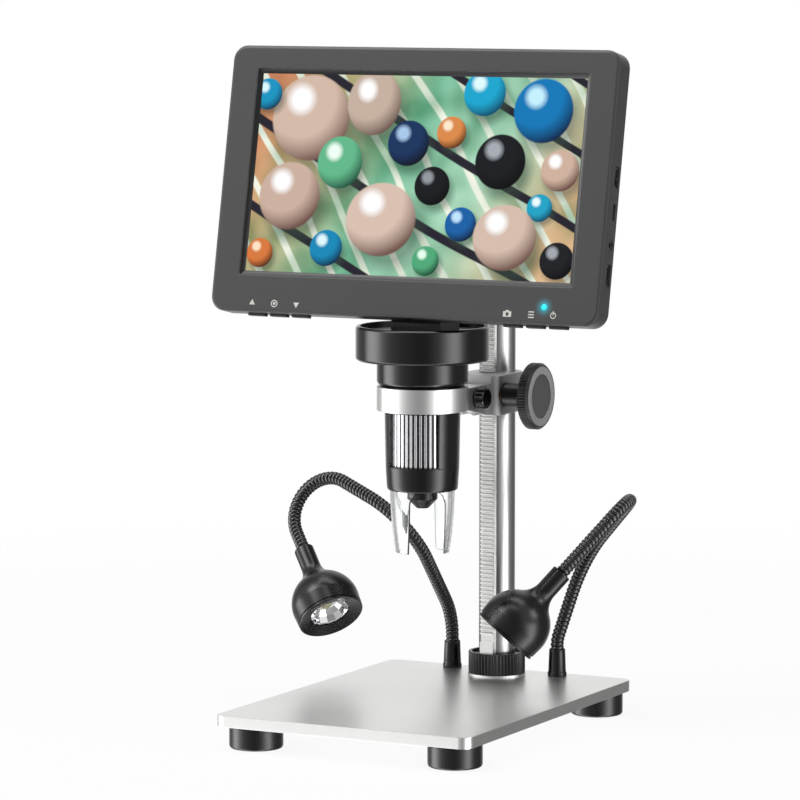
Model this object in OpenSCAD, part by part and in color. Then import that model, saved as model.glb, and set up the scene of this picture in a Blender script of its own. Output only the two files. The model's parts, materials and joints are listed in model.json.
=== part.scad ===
// LCD digital microscope on a rack-and-pinion stand with two gooseneck lamps.
// Millimetres, +Z up, origin on the table under the centre of the base plate.
// The screen faces -Y and the column stands behind the microscope tube.

/* [Base] */
// Width of the base plate
base_w = 120; // [110:1:150]
// Depth of the base plate
base_d = 164; // [160:1:200]
// Thickness of the base plate
base_t = 5; // [4:0.5:8]
// Corner radius of the base plate
base_corner_r = 5; // [2:0.5:10]
// Diameter of a rubber foot
foot_d = 23; // [18:0.5:26]
// Height of a rubber foot
foot_h = 10; // [9:0.5:15]
// Distance from the side edge of the plate to a foot's centre
foot_inset_side = 13; // [12:0.5:16]
// Distance from the front edge of the plate to a front foot's centre
foot_inset_front = 14; // [12:0.5:20]
// Distance from the back edge of the plate to a back foot's centre
foot_inset_back = 10; // [8:0.5:16]

/* [Column] */
// Diameter of the column
column_d = 16; // [15:0.5:18]
// Height of the column above the plate
column_h = 250; // [240:5:290]
// Distance from the back edge of the plate to the column's axis
column_inset = 14.3; // [14:0.1:20]
// Diameter of the bolt that holds the column
column_bolt_d = 6; // [5:0.5:7]
// Diameter of the knurled collar at the column's foot
foot_collar_d = 25.2; // [24:0.2:27]
// Height of the knurled collar
foot_collar_h = 9.6; // [8:0.2:12]

/* [Rack and pinion] */
// Gear module of rack and pinion
gear_module = 0.6; // [0.5:0.05:0.65]
// Teeth on the pinion
pinion_teeth = 14; // [13:1:16]
// Width of the rack
rack_w = 6.4; // [5:0.2:7]
// How far the rack stands proud of the column
rack_proud = 2.7; // [2.2:0.1:3.2]
// Depth of the rack bar, teeth included
rack_depth = 5.2; // [4.6:0.2:5.4]
// Height of the first tooth above the plate
rack_start = 17.4; // [12:0.2:30]

/* [Carriage] */
// Height of the carriage block's underside above the plate
carriage_z = 118; // [95:1:125]
// Height of the carriage block
block_h = 17.4; // [16:0.2:20]
// Width of the carriage block
block_w = 22; // [21:0.5:26]
// Distance from the column's axis to the block's front face
block_front = 21.2; // [20.5:0.2:24]
// Distance from the column's axis to the microscope's axis
arm_reach = 73.1; // [68:0.5:85]
// Width of the clamp's arm
arm_w = 13; // [10:0.5:14]
// Height of the clamp ring
ring_h = 10.4; // [9:0.2:12]
// Wall of the clamp ring
ring_wall = 3.05; // [2.5:0.05:3.5]
// Width of the slit in the clamp
slit_w = 1.8; // [1:0.1:2.4]

/* [Height knob] */
// Diameter of the height knob
knob_d = 29.1; // [26:0.1:32]
// Thickness of the height knob
knob_t = 5.7; // [5:0.1:8]
// Diameter of the knob's hub
hub_d = 10.5; // [9:0.1:11.5]
// Length of the hub between block and knob
hub_len = 11.3; // [9:0.1:14]
// Diameter of the knob's centre cap
knob_cap_d = 19.4; // [16:0.2:21]
// Ribs round the height knob
knob_ribs = 72; // [24:4:96]
// Diameter of the pinion shaft
shaft_d = 5; // [4:0.5:5.5]

/* [Microscope] */
// Diameter of the tube where the clamp holds it
tube_d = 33; // [31:0.5:34]
// Diameter of the head housing
head_d = 57.3; // [52:0.1:60]
// Height of the head housing
head_h = 14.9; // [13:0.1:17]
// Depth of the sunk top inside the head's rim
head_sunk = 2.5; // [2:0.1:3]
// Height of the black collar ring under the head
collar_ring_h = 10.6; // [9:0.1:12]
// Height of the barrel below the clamp ring down to the front collar
barrel_h = 24; // [20:0.5:26]
// Height of the front collar
front_collar_h = 10.2; // [9:0.2:12]
// How much the barrel's radius shrinks down to the front collar
barrel_taper = 0.7; // [0.5:0.05:1.2]
// How much the front collar's radius shrinks to its lower end
collar_taper = 0.6; // [0.2:0.05:0.8]
// Wall of the barrel round the focus wheel
barrel_wall = 1.9; // [1.6:0.1:2.4]
// Share of a turn that each window opens, in degrees
window_angle = 90; // [70:5:100]
// Direction of the first window, in degrees from the front
window_dir = 8; // [-20:1:30]
// Ribs on the focus wheel
wheel_ribs = 42; // [30:1:60]
// Diameter of the lens barrel's nose
nose_d = 13; // [11:0.5:14]
// Length of the clear spacer
spacer_len = 27; // [22:0.5:30]
// Direction of the spacer's gap, in degrees from the front
spacer_gap_dir = 38; // [0:1:90]

/* [Screen] */
// Width of the visible picture
picture_w = 154.2; // [140:0.1:170]
// Height of the visible picture
picture_h = 85.9; // [78:0.1:96]
// Width of the bezel beside the picture
bezel_side = 14.9; // [12:0.1:20]
// Width of the bezel above the picture
bezel_top = 12.05; // [10:0.05:18]
// Width of the bezel below the picture
bezel_bottom = 17.95; // [16:0.05:24]
// Depth of the front bezel's side band
bezel_depth = 10.2; // [9.4:0.2:13]
// Depth of the rear cover behind the bezel
cover_depth = 5.3; // [4.8:0.1:8]
// Height of the picture's centre above the plate
screen_z = 225.4; // [224:0.2:235]
// Distance of the picture from the microscope's axis towards the front
screen_forward = 8.1; // [8:0.1:12]
// Angle by which the screen leans back
screen_lean = 11.4; // [9:0.1:13]
// Width of the neck
neck_w = 24; // [20:0.5:28]
// Diameter of the hinge pin
hinge_pin_d = 5; // [4:0.5:6]
// Width of a push button
button_w = 8.2; // [7:0.1:8.6]
// Spacing of the push buttons
button_pitch = 10.6; // [10:0.1:11.5]
// How far a push button stands out below the housing
button_proud = 1.2; // [1:0.1:1.6]

/* [Lamps] */
// Diameter of the gooseneck
gooseneck_d = 6; // [5:0.2:7]
// Distance of a lamp's socket from the middle of the plate
lamp_side = 26; // [25:0.5:34]
// Distance from the back edge of the plate to a lamp's socket
lamp_inset = 6.5; // [6:0.1:12]
// Diameter of the lamp's face
lamp_face_d = 29.5; // [27:0.1:32]
// Diameter of the sleeve on the lamp head
lamp_sleeve_d = 8.8; // [8:0.1:10]
// Length of the lamp head with its sleeve
lamp_len = 37.4; // [34:0.1:42]
// Diameter of the reflector's mouth
reflector_d = 17.6; // [15:0.1:20]

/* [Hidden] */
$fn = 96;

// clearances
running = 0.05;      // radial play of a shaft in its hole
apart = 0.4;         // gap between parts that pass each other
eps = 0.01;

// heights and places that follow from the sizes above
plate_top = foot_h + base_t;
column_y = base_d / 2 - column_inset;
tube_y = column_y - arm_reach;
block_z = plate_top + carriage_z;
block_top = block_z + block_h;
ring_z = block_top - ring_h;

// rack and pinion
tooth_pitch = PI * gear_module;
tooth_add = 0.9 * gear_module;
tooth_ded = 1.2 * gear_module;
pressure_angle = 20;
backlash = 0.16;
pitch_r = gear_module * pinion_teeth / 2;
rack_front_y = column_y - column_d / 2 - rack_proud;
pinion_y = rack_front_y + tooth_add - pitch_r;
pinion_z = block_z + block_h / 2;
rack_z0 = plate_top + rack_start;
rack_top = plate_top + column_h;
rack_count = floor((rack_top - rack_z0) / tooth_pitch) - 1;
// the pinion's tooth gap meets the nearest rack tooth
rack_phase = (pinion_z - rack_z0) / tooth_pitch - floor((pinion_z - rack_z0) / tooth_pitch) - 0.5;
pinion_w = 6;

// microscope
casing_top_z = ring_z + ring_h + 7.6;
casing_low_z = ring_z - barrel_h;
front_low_z = casing_low_z - front_collar_h;
collar_ring_z = ring_z + ring_h + apart;
head_z = collar_ring_z + collar_ring_h;
head_floor_z = head_z + head_h - head_sunk;
ring_d = tube_d + 2 * running + 2 * ring_wall;
window_top_z = ring_z - 0.8;
window_low_z = casing_low_z + 0.4;
casing_bore_d = tube_d - 2 * barrel_wall;
wheel_d = casing_bore_d - 2 * apart;
casing_low_d = tube_d - 2 * barrel_taper;
front_collar_d = casing_low_d - 2 * collar_taper;
collar_wall = 1.5;
collar_bore_d = casing_low_d - 2 * collar_wall;
sleeve_d = 21.9;
sleeve_bore_d = 16.4;

// screen, in its own frame: X right, Y into the back, Z up the picture
bezel_face = -2;
bezel_back = bezel_face + bezel_depth;
cover_back = bezel_back + cover_depth;
screen_w = picture_w + 2 * bezel_side;
screen_above = picture_h / 2 + bezel_top;
screen_below = picture_h / 2 + bezel_bottom;
shell = 2;
chamfer = 1.6;
screen_corner_r = 6.5;
opening_margin = 1.9;
panel_t = 3.5;
panel_border = 5.4;
screen_y = tube_y - screen_forward;
screen_centre_z = plate_top + screen_z;
hinge_plate_t = 2;
knuckle_r = 6.5;
hinge_up = 14.9 - screen_below;
hinge_back = cover_back + hinge_plate_t + knuckle_r + 0.5;
hinge_y = screen_y + hinge_back * cos(screen_lean) + hinge_up * sin(screen_lean);
hinge_z = screen_centre_z - hinge_back * sin(screen_lean) + hinge_up * cos(screen_lean);
ear_t = 3.5;
button_depth = 3.2;
button_back = 4;
button_stroke = 0.6;
left_keys_x = 31.4 - screen_w / 2;
right_keys_x = screen_w / 2 - 30.6;
key_flange = 0.8;

// lamps
socket_h = 12;
socket_bore_depth = 7;
socket_y = base_d / 2 - lamp_inset;
neck_in_head = 6;
// bends of each gooseneck: straight before it, direction, radius, angle
left_bends = [[8.7, -91, 26.6, 41.1], [27.8, -113.8, 27.1, 85.1], [17.8, 63.8, 16.3, 149.5]];
left_tail = 9.4;
right_bends = [[8.6, 26.1, 16.2, 17.7], [18.8, -65.5, 51, 36.8], [17.4, -41.2, 14, 141.4]];
right_tail = 28.9;
// straights are a hair slimmer than the bends, so each bend ends in a small step
straight_d = gooseneck_d - 0.04;
straight_lap = 0.2;

// ---------- shared shapes ----------

module rounded_rect(w, d, r) {
    square([w - 2 * r, d], center = true);
    square([w, d - 2 * r], center = true);
    for (sx = [-1, 1], sy = [-1, 1])
        translate([sx * (w / 2 - r), sy * (d / 2 - r)])
            circle(r = r);
}

// a ring of straight ribs, drawn as a polygon
module ribbed_disc(d, ribs, depth) {
    step = 360 / ribs;
    polygon([for (i = [0:ribs - 1], p = [[0.05, 0], [0.45, 0], [0.6, depth], [0.9, depth]])
        (d / 2 - p[1]) * [cos((i + p[0]) * step), sin((i + p[0]) * step)]]);
}

module tube(d, bore, h) {
    difference() {
        cylinder(d = d, h = h);
        translate([0, 0, -eps])
            cylinder(d = bore, h = h + 2 * eps);
    }
}

module at_tube(z) {
    translate([0, tube_y, z])
        children();
}

module at_column(z) {
    translate([0, column_y, z])
        children();
}

// ---------- base ----------

foot_places = [
    for (sx = [-1, 1], y = [-base_d / 2 + foot_inset_front, base_d / 2 - foot_inset_back])
        [sx * (base_w / 2 - foot_inset_side), y]];
foot_screw_d = 4;
foot_screw_head_d = 7;
foot_screw_sunk = 3;
foot_screw_in_plate = 3.5;

module base_plate() {
    color("gainsboro")
        difference() {
            translate([0, 0, foot_h])
                linear_extrude(base_t)
                    rounded_rect(base_w, base_d, base_corner_r);
            at_column(foot_h - eps)
                cylinder(d = column_bolt_d, h = base_t + 2 * eps);
            for (sx = [-1, 1])
                translate([sx * lamp_side, socket_y, foot_h - eps])
                    cylinder(d = socket_stub_d, h = base_t + 2 * eps);
            for (p = foot_places)
                translate([p[0], p[1], foot_h - eps])
                    cylinder(d = foot_screw_d, h = foot_screw_in_plate + eps);
        }
}

module rubber_feet() {
    color("#1c1c1c")
        for (p = foot_places)
            translate([p[0], p[1], 0])
                difference() {
                    rotate_extrude()
                        polygon([[0, 0], [foot_d / 2 - 0.8, 0], [foot_d / 2, 0.8],
                            [foot_d / 2, foot_h - 0.6], [foot_d / 2 - 0.6, foot_h], [0, foot_h]]);
                    translate([0, 0, -eps])
                        cylinder(d = foot_screw_head_d, h = foot_screw_sunk + 2.4 + eps);
                    cylinder(d = foot_screw_d, h = foot_h + eps);
                }
}

module foot_screws() {
    color("silver")
        for (p = foot_places)
            translate([p[0], p[1], foot_screw_sunk]) {
                cylinder(d = foot_screw_head_d, h = 2.4);
                cylinder(d = foot_screw_d, h = foot_h - foot_screw_sunk + foot_screw_in_plate);
            }
}

module column_tube() {
    groove_y = column_d / 2 + rack_proud - rack_depth;
    color("silver")
        at_column(plate_top)
            difference() {
                cylinder(d = column_d, h = column_h);
                translate([0, 0, -eps])
                    cylinder(d = column_bolt_d, h = column_h + 2 * eps);
                translate([-rack_w / 2, -column_d, -eps])
                    cube([rack_w, column_d - groove_y, column_h + 2 * eps]);
            }
}

// straight-sided rack teeth, pointing to -Y; z counts up the bar
function rack_points() =
    let (half = tooth_pitch / 4 - backlash / 4, slope = tan(pressure_angle))
    [for (i = [0:rack_count - 1])
        let (z = rack_z0 - plate_top + (i + 0.5 + rack_shift) * tooth_pitch)
        each [[tooth_add + tooth_ded, z - half - tooth_ded * slope], [0, z - half + tooth_add * slope],
            [0, z + half - tooth_add * slope], [tooth_add + tooth_ded, z + half + tooth_ded * slope]]];
// moves the rack so that one tooth stands level with the pinion's axis
rack_shift = rack_phase;

module toothed_rack() {
    color("lightgray")
        translate([-rack_w / 2, rack_front_y, plate_top])
            rotate([90, 0, 90])
                linear_extrude(rack_w)
                    polygon(concat([[rack_depth, 0], [0, 0], [0, rack_start - tooth_pitch],
                        [tooth_add + tooth_ded, rack_start - tooth_pitch]],
                        rack_points(),
                        [[tooth_add + tooth_ded, column_h], [rack_depth, column_h]]));
}

module column_collar() {
    washer_h = 0.8;
    color("#202020")
        at_column(plate_top + washer_h)
            difference() {
                linear_extrude(foot_collar_h)
                    ribbed_disc(foot_collar_d, 48, 0.35);
                // opening for the column and its rack
                translate([0, 0, -eps])
                    cylinder(d = column_d, h = foot_collar_h + 2 * eps);
                translate([-rack_w / 2, -column_d / 2 - rack_proud, -eps])
                    cube([rack_w, column_d / 2, foot_collar_h + 2 * eps]);
                // sunk top
                translate([0, 0, foot_collar_h - 1.2])
                    cylinder(d = foot_collar_d - 3, h = 2);
            }
}

module collar_washer() {
    color("silver")
        at_column(plate_top)
            difference() {
                cylinder(d = foot_collar_d + 0.4, h = 0.8);
                translate([0, 0, -eps])
                    cylinder(d = column_d, h = 1);
                translate([-rack_w / 2, -column_d / 2 - rack_proud, -eps])
                    cube([rack_w, column_d / 2, 1]);
            }
}

module column_bolt() {
    head_h = 4;
    color("dimgray")
        at_column(foot_h - head_h)
            difference() {
                union() {
                    cylinder(d = 2 * column_bolt_d, h = head_h);
                    cylinder(d = column_bolt_d, h = head_h + base_t + 22);
                }
                translate([0, 0, -eps])
                    cylinder(d = column_bolt_d * 0.9, h = 2.5, $fn = 6);
            }
}

module column_cap() {
    color("#202020")
        at_column(plate_top + column_h)
            union() {
                cylinder(d = column_d, h = 1.6);
                translate([0, 0, 1.6])
                    cylinder(d1 = column_d, d2 = column_d - 1.6, h = 0.8);
                translate([0, 0, -6])
                    cylinder(d = column_bolt_d, h = 6);
            }
}

// ---------- lamp sockets ----------

socket_stub_d = 6.4;

module lamp_socket(side) {
    nut_h = 3;
    color("#1e1e1e")
        translate([side * lamp_side, socket_y, plate_top]) {
            difference() {
                union() {
                    rotate_extrude()
                        polygon([[0, 0], [4.25, 0], [4.25, 1.4], [3.95, 1.8], [3.55, socket_h], [0, socket_h]]);
                    translate([0, 0, -base_t - nut_h - 0.6])
                        cylinder(d = socket_stub_d, h = base_t + nut_h + 0.6);
                }
                translate([0, 0, socket_h - socket_bore_depth])
                    cylinder(d = gooseneck_d + 2 * running, h = socket_bore_depth + 1);
            }
            // nut under the plate
            translate([0, 0, -base_t - nut_h])
                difference() {
                    cylinder(d = 10.4, h = nut_h, $fn = 6);
                    translate([0, 0, -eps])
                        cylinder(d = socket_stub_d, h = nut_h + 2 * eps);
                }
        }
}

module left_lamp_socket() {
    lamp_socket(-1);
}

module right_lamp_socket() {
    lamp_socket(1);
}

// ---------- carriage ----------

pinion_chamber_gap = 0.35;
bush_d = 2 * (pitch_r + tooth_add + pinion_chamber_gap);
block_corner_r = 4;
arm_screw_d = 2.5;
arm_screw_up = 1.75;
arm_screw_x = 3.2;
arm_screw_in_arm = 9;
arm_screw_in_block = 4.5;
arm_low_z = block_z;
arm_top_z = block_top - 3.6;
thumb_y = column_y - block_front - 12;
thumb_z = (arm_low_z + arm_top_z) / 2 + 1.8;
thumb_shaft_d = 4;
brake_d = 4;

module block_outline() {
    front = block_front - block_corner_r;
    circle(d = block_w);
    translate([-block_w / 2, -front])
        square([block_w, front]);
    translate([-block_w / 2 + block_corner_r, -block_front])
        square([block_w - 2 * block_corner_r, block_front]);
    for (sx = [-1, 1])
        translate([sx * (block_w / 2 - block_corner_r), -front])
            circle(r = block_corner_r);
}

module carriage_block() {
    rack_gap = rack_w / 2 + apart;
    slot_front = column_d / 2 + rack_proud + apart;
    color("darkgray")
        difference() {
            at_column(block_z)
                linear_extrude(block_h)
                    block_outline();
            // bore for the column, and room for the rack in front of it
            at_column(block_z - eps)
                cylinder(d = column_d + 2 * running, h = block_h + 2 * eps);
            at_column(block_z - eps)
                translate([-rack_gap, -slot_front, 0])
                    cube([2 * rack_gap, slot_front, block_h + 2 * eps]);
            // pinion chamber and the hole for its bush
            translate([-pinion_w / 2 - apart, pinion_y, pinion_z])
                rotate([0, 90, 0])
                    cylinder(d = bush_d, h = block_w);
            // hole for the far end of the shaft
            translate([-block_w, pinion_y, pinion_z])
                rotate([0, 90, 0])
                    cylinder(d = shaft_d + 2 * running, h = block_w);
            // hole for the brake screw
            at_column(pinion_z)
                rotate([-90, 0, 0])
                    cylinder(d = brake_d, h = block_w);
            arm_screw_shapes();
        }
}

module arm_screw_shapes() {
    for (sx = [-1, 1])
        translate([sx * arm_screw_x, column_y - block_front - arm_screw_in_arm, arm_low_z + arm_screw_up])
            rotate([-90, 0, 0])
                cylinder(d = arm_screw_d, h = arm_screw_in_arm + arm_screw_in_block);
}

module tube_clamp() {
    arm_back_y = column_y - block_front;
    color("silver")
        difference() {
            union() {
                at_tube(ring_z)
                    cylinder(d = ring_d, h = ring_h);
                // arm, deeper where it meets the block
                translate([-arm_w / 2, 0, 0])
                    rotate([90, 0, 90])
                        linear_extrude(arm_w)
                            polygon([[tube_y + ring_d / 2 - 3, ring_z], [arm_back_y, arm_low_z],
                                [arm_back_y, arm_top_z], [tube_y + ring_d / 2 - 3, arm_top_z]]);
            }
            at_tube(ring_z - 1)
                cylinder(d = tube_d + 2 * running, h = ring_h + 2);
            // slit that the thumb screw closes
            translate([-slit_w / 2, tube_y, block_z - 1])
                cube([slit_w, thumb_y - tube_y + 6, block_h + 2]);
            translate([-arm_w, thumb_y, thumb_z])
                rotate([0, 90, 0])
                    cylinder(d = thumb_shaft_d + 2 * running, h = 2 * arm_w);
            arm_screw_shapes();
        }
}

// headless screws that join arm and block
module clamp_arm_screws() {
    color("dimgray")
        arm_screw_shapes();
}

module brake_screw() {
    color("dimgray")
        at_column(pinion_z)
            rotate([-90, 0, 0])
                difference() {
                    translate([0, 0, column_d / 2 + 0.3])
                        cylinder(d = brake_d, h = block_w / 2 - column_d / 2 + 0.4);
                    translate([0, 0, block_w / 2 - 0.8])
                        cylinder(d = 2, h = 4, $fn = 6);
                }
}

module pinion_bush() {
    color("#2a2a2a")
        translate([pinion_w / 2 + apart, pinion_y, pinion_z])
            rotate([0, 90, 0])
                tube(bush_d, shaft_d + 2 * running, block_w / 2 - pinion_w / 2 - apart);
}

// ---------- height knob ----------

// involute flank of a gear tooth, from the base circle outwards
function involute(rb, r) =
    let (a = acos(min(1, rb / r)))
    tan(a) * 180 / PI - a;

function gear_points(m, z, add, ded, slack) =
    let (rp = m * z / 2, rb = rp * cos(pressure_angle), ra = rp + add, rf = rp - ded,
        half = 90 / z - slack / 4 / rp * 180 / PI + involute(rb, rp),
        radii = [max(rb, rf), (max(rb, rf) + rp) / 2, rp, (rp + ra) / 2, ra])
    [for (i = [0:z - 1])
        let (a = i * 360 / z)
        each concat(
            [rf * [cos(a - half), sin(a - half)]],
            [for (r = radii) r * [cos(a - half + involute(rb, r)), sin(a - half + involute(rb, r))]],
            [for (k = [4:-1:0]) radii[k] * [cos(a + half - involute(rb, radii[k])),
                sin(a + half - involute(rb, radii[k]))]],
            [rf * [cos(a + half), sin(a + half)]])];

module at_pinion(x) {
    translate([x, pinion_y, pinion_z])
        rotate([0, 90, 0])
            children();
}

knob_x = block_w / 2 + apart + hub_len;
face_t = 1;

module pinion_shaft() {
    color("silver")
        difference() {
            union() {
                at_pinion(-block_w / 2 - 2)
                    cylinder(d = shaft_d, h = knob_x + knob_t - 2 + block_w / 2 + 2);
                // retaining head outside the block's left side
                at_pinion(-block_w / 2 - apart - 1.6)
                    cylinder(d = shaft_d + 4, h = 1.6);
            }
            at_pinion(-block_w / 2 - 3)
                cylinder(d = 1, h = 0.5);
        }
}

module pinion_gear() {
    color("goldenrod")
        at_pinion(-pinion_w / 2)
            difference() {
                // a tooth gap faces the rack, whose tooth stands level with the axis
                rotate([0, 0, 90 + 180 / pinion_teeth])
                    linear_extrude(pinion_w)
                        polygon(gear_points(gear_module, pinion_teeth, tooth_add, tooth_ded, backlash));
                translate([0, 0, -1])
                    cylinder(d = shaft_d, h = pinion_w + 2);
            }
}

module height_knob() {
    rim_r = knob_d / 2;
    rib_depth = 0.25;
    rim_chamfer = 0.9;
    root_r = rim_r - rib_depth - 0.1;
    color("#202020")
        at_pinion(block_w / 2 + apart)
            difference() {
                union() {
                    cylinder(d = hub_d, h = hub_len);
                    translate([0, 0, hub_len])
                        cylinder(r1 = root_r - rim_chamfer, r2 = root_r, h = rim_chamfer);
                    translate([0, 0, hub_len + rim_chamfer])
                        linear_extrude(knob_t - 2 * rim_chamfer)
                            ribbed_disc(knob_d, knob_ribs, rib_depth);
                    translate([0, 0, hub_len + knob_t - rim_chamfer])
                        cylinder(r1 = root_r, r2 = root_r - rim_chamfer + 0.3, h = rim_chamfer);
                }
                translate([0, 0, -1])
                    cylinder(d = shaft_d, h = hub_len + knob_t - 1);
                translate([0, 0, hub_len + knob_t - face_t])
                    cylinder(r = rim_r - 1.4, h = face_t + 1);
            }
}

module knob_face() {
    color("gray")
        at_pinion(knob_x + knob_t - face_t)
            tube(knob_d - 2.8, knob_cap_d, face_t);
}

module knob_cap() {
    color("#565656")
        at_pinion(knob_x + knob_t - face_t)
            cylinder(d = knob_cap_d, h = face_t - 0.3);
}

// ---------- thumb screw ----------

module thumb_screw() {
    head_x = arm_w / 2 + apart;
    head_t = 4.4;
    head_d = 9.8;
    color("#202020")
        translate([0, thumb_y, thumb_z])
            rotate([0, 90, 0])
                union() {
                    translate([0, 0, -arm_w / 2 - 1.2])
                        cylinder(d = thumb_shaft_d, h = arm_w / 2 + 1.2 + head_x + 1);
                    translate([0, 0, head_x])
                        difference() {
                            union() {
                                cylinder(d1 = head_d - 1.4, d2 = head_d, h = 0.7);
                                translate([0, 0, 0.7])
                                    cylinder(d = head_d, h = head_t - 1.4);
                                translate([0, 0, head_t - 0.7])
                                    cylinder(d1 = head_d, d2 = head_d - 1.4, h = 0.7);
                            }
                            for (i = [0:7])
                                rotate([0, 0, i * 45])
                                    translate([head_d / 2 + 0.5, 0, -1])
                                        cylinder(d = 2.6, h = head_t + 2);
                        }
                }
}

// ---------- microscope ----------

head_wall = 2;

module head_housing() {
    r = head_d / 2;
    color("#303030")
        at_tube(head_z)
            rotate_extrude()
                polygon([[tube_d / 2 - 4, 0], [r - 1, 0], [r, 1], [r, head_h - 0.8], [r - 0.8, head_h],
                    [r - head_wall, head_h], [r - head_wall, 2.5], [tube_d / 2 - 4, 2.5]]);
}

module head_lid() {
    color("#262626")
        at_tube(head_floor_z - 2)
            cylinder(d = head_d - 2 * head_wall, h = 2);
}

neck_back_y = tube_y + 11.6;
neck_front_y = tube_y - 6.65;

module screen_neck() {
    shoulder_z = head_z + head_h + 1.6;
    color("#555555")
        difference() {
            translate([-neck_w / 2, 0, 0])
                rotate([90, 0, 90])
                    linear_extrude(neck_w)
                        union() {
                            polygon([[neck_front_y, head_floor_z], [neck_back_y, head_floor_z],
                                [neck_back_y, shoulder_z], [hinge_y + knuckle_r, hinge_z],
                                [hinge_y - knuckle_r, hinge_z], [hinge_y - knuckle_r, shoulder_z + 5.5],
                                [neck_front_y, shoulder_z]]);
                            translate([hinge_y, hinge_z])
                                circle(r = knuckle_r);
                        }
            translate([-neck_w, hinge_y, hinge_z])
                rotate([0, 90, 0])
                    cylinder(d = hinge_pin_d + 2 * running, h = 2 * neck_w);
        }
}

module collar_ring() {
    r = ring_d / 2;
    color("#181818")
        at_tube(collar_ring_z)
            rotate_extrude()
                polygon([[tube_d / 2, 0], [r - 1.6, 0], [r - 0.5, 0.7], [r, 1.8], [r, collar_ring_h],
                    [tube_d / 2, collar_ring_h]]);
}

// a wedge of a cylinder, centred on a direction counted from the front to the right
module sector(dir, angle, r, h) {
    rotate([0, 0, dir - 90 - angle / 2])
        rotate_extrude(angle = angle)
            square([r, h]);
}

module barrel_casing() {
    color("#1a1a1a")
        at_tube(casing_low_z)
            difference() {
                rotate_extrude()
                    polygon([[casing_bore_d / 2, 0], [casing_low_d / 2, 0], [tube_d / 2 - 0.25, barrel_h],
                        [tube_d / 2, barrel_h], [tube_d / 2, casing_top_z - casing_low_z],
                        [casing_bore_d / 2, casing_top_z - casing_low_z]]);
                for (k = [0, 180])
                    translate([0, 0, window_low_z - casing_low_z])
                        sector(window_dir + k, window_angle, tube_d, window_top_z - window_low_z);
            }
}

module front_collar() {
    color("#1c1c1c")
        at_tube(front_low_z)
            rotate_extrude()
                polygon([[spacer_top_r, 0], [front_collar_d / 2 - 0.6, 0], [front_collar_d / 2, 0.8],
                    [casing_low_d / 2, front_collar_h], [sleeve_d / 2, front_collar_h],
                    [sleeve_d / 2, front_collar_h - 2], [collar_bore_d / 2, front_collar_h - 2],
                    [collar_bore_d / 2, spacer_seat_h], [spacer_top_r, spacer_seat_h]]);
}

module guide_sleeve() {
    color("#3a3a3a")
        at_tube(casing_low_z - 2)
            tube(sleeve_d, sleeve_bore_d, casing_top_z - 2 - casing_low_z);
}

module led_ring() {
    leds = 8;
    color("#e8e8e0")
        at_tube(front_low_z + spacer_seat_h)
            union() {
                tube(collar_bore_d, led_ring_bore_d, 1.4);
                for (i = [0:leds - 1])
                    rotate([0, 0, (i + 0.5) * 360 / leds])
                        translate([(led_ring_bore_d / 2 + spacer_top_r - spacer_wall) / 2, 0, -1.6])
                            cylinder(d = 2.6, h = 1.6);
            }
}

spacer_wall = 1.4;
spacer_inset = 1.3;
spacer_top_r = front_collar_d / 2 - spacer_inset;
spacer_low_r = spacer_top_r - 2.3;
spacer_seat_h = 4.5;
led_ring_bore_d = 17;

// wall of the spacer: straight in the collar, then drawn in along a shallow arc
module spacer_wall_profile() {
    steps = 6;
    bow = 0.5;
    function wall_r(t) = spacer_top_r - (spacer_top_r - spacer_low_r) * t + bow * (1 - pow(2 * t - 1, 2));
    polygon(concat(
        [[spacer_top_r - spacer_wall, spacer_seat_h], [spacer_top_r, spacer_seat_h]],
        [for (i = [0:steps]) [wall_r(i / steps), -spacer_len * i / steps]],
        [for (i = [steps:-1:0]) [wall_r(i / steps) - spacer_wall, -spacer_len * i / steps]]));
}

module clear_spacer() {
    gap_w = 15;
    arch_top = -1.5;
    color([0.9, 0.95, 1, 0.4])
        at_tube(front_low_z)
            difference() {
                rotate_extrude()
                    spacer_wall_profile();
                // arched gap right through, so that two prongs are left
                rotate([0, 0, spacer_gap_dir])
                    translate([0, tube_d, 0])
                        rotate([90, 0, 0])
                            linear_extrude(2 * tube_d)
                                union() {
                                    translate([-gap_w / 2, -spacer_len - 1])
                                        square([gap_w, spacer_len + 1 + arch_top - gap_w / 2 + 3]);
                                    translate([0, arch_top - gap_w / 2 + 3])
                                        circle(d = gap_w);
                                }
            }
}

module sensor_board() {
    color("darkgreen")
        at_tube(casing_top_z - 2)
            union() {
                cylinder(d = casing_bore_d - 1, h = 1.6);
                translate([-4, -4, -1.2])
                    cube([8, 8, 1.2]);
            }
}

// ---------- focus wheel and lens ----------

wheel_low_z = casing_low_z + apart;
wheel_top_z = ring_z + 1;

module focus_wheel() {
    color("gainsboro")
        at_tube(wheel_low_z)
            difference() {
                linear_extrude(wheel_top_z - wheel_low_z)
                    ribbed_disc(wheel_d, wheel_ribs, 0.8);
                translate([0, 0, -1])
                    cylinder(d = sleeve_d + 2 * running, h = wheel_top_z - wheel_low_z + 2);
            }
}

nose_len = 8;

module lens_barrel() {
    body_top = 22;
    tip_r = 2.6;
    color("#2a2a2a")
        at_tube(front_low_z - nose_len)
            difference() {
                rotate_extrude()
                    polygon([[0, 0], [tip_r, 0], [nose_d / 2, 4], [nose_d / 2, nose_len + front_collar_h - 1.6],
                        [sleeve_bore_d / 2 - running, nose_len + front_collar_h - 1.6],
                        [sleeve_bore_d / 2 - running, nose_len + front_collar_h + body_top],
                        [0, nose_len + front_collar_h + body_top]]);
                translate([0, 0, -eps])
                    cylinder(d = 3.4, h = 60);
                translate([0, 0, 6])
                    cylinder(d = 9, h = 60);
            }
}

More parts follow.
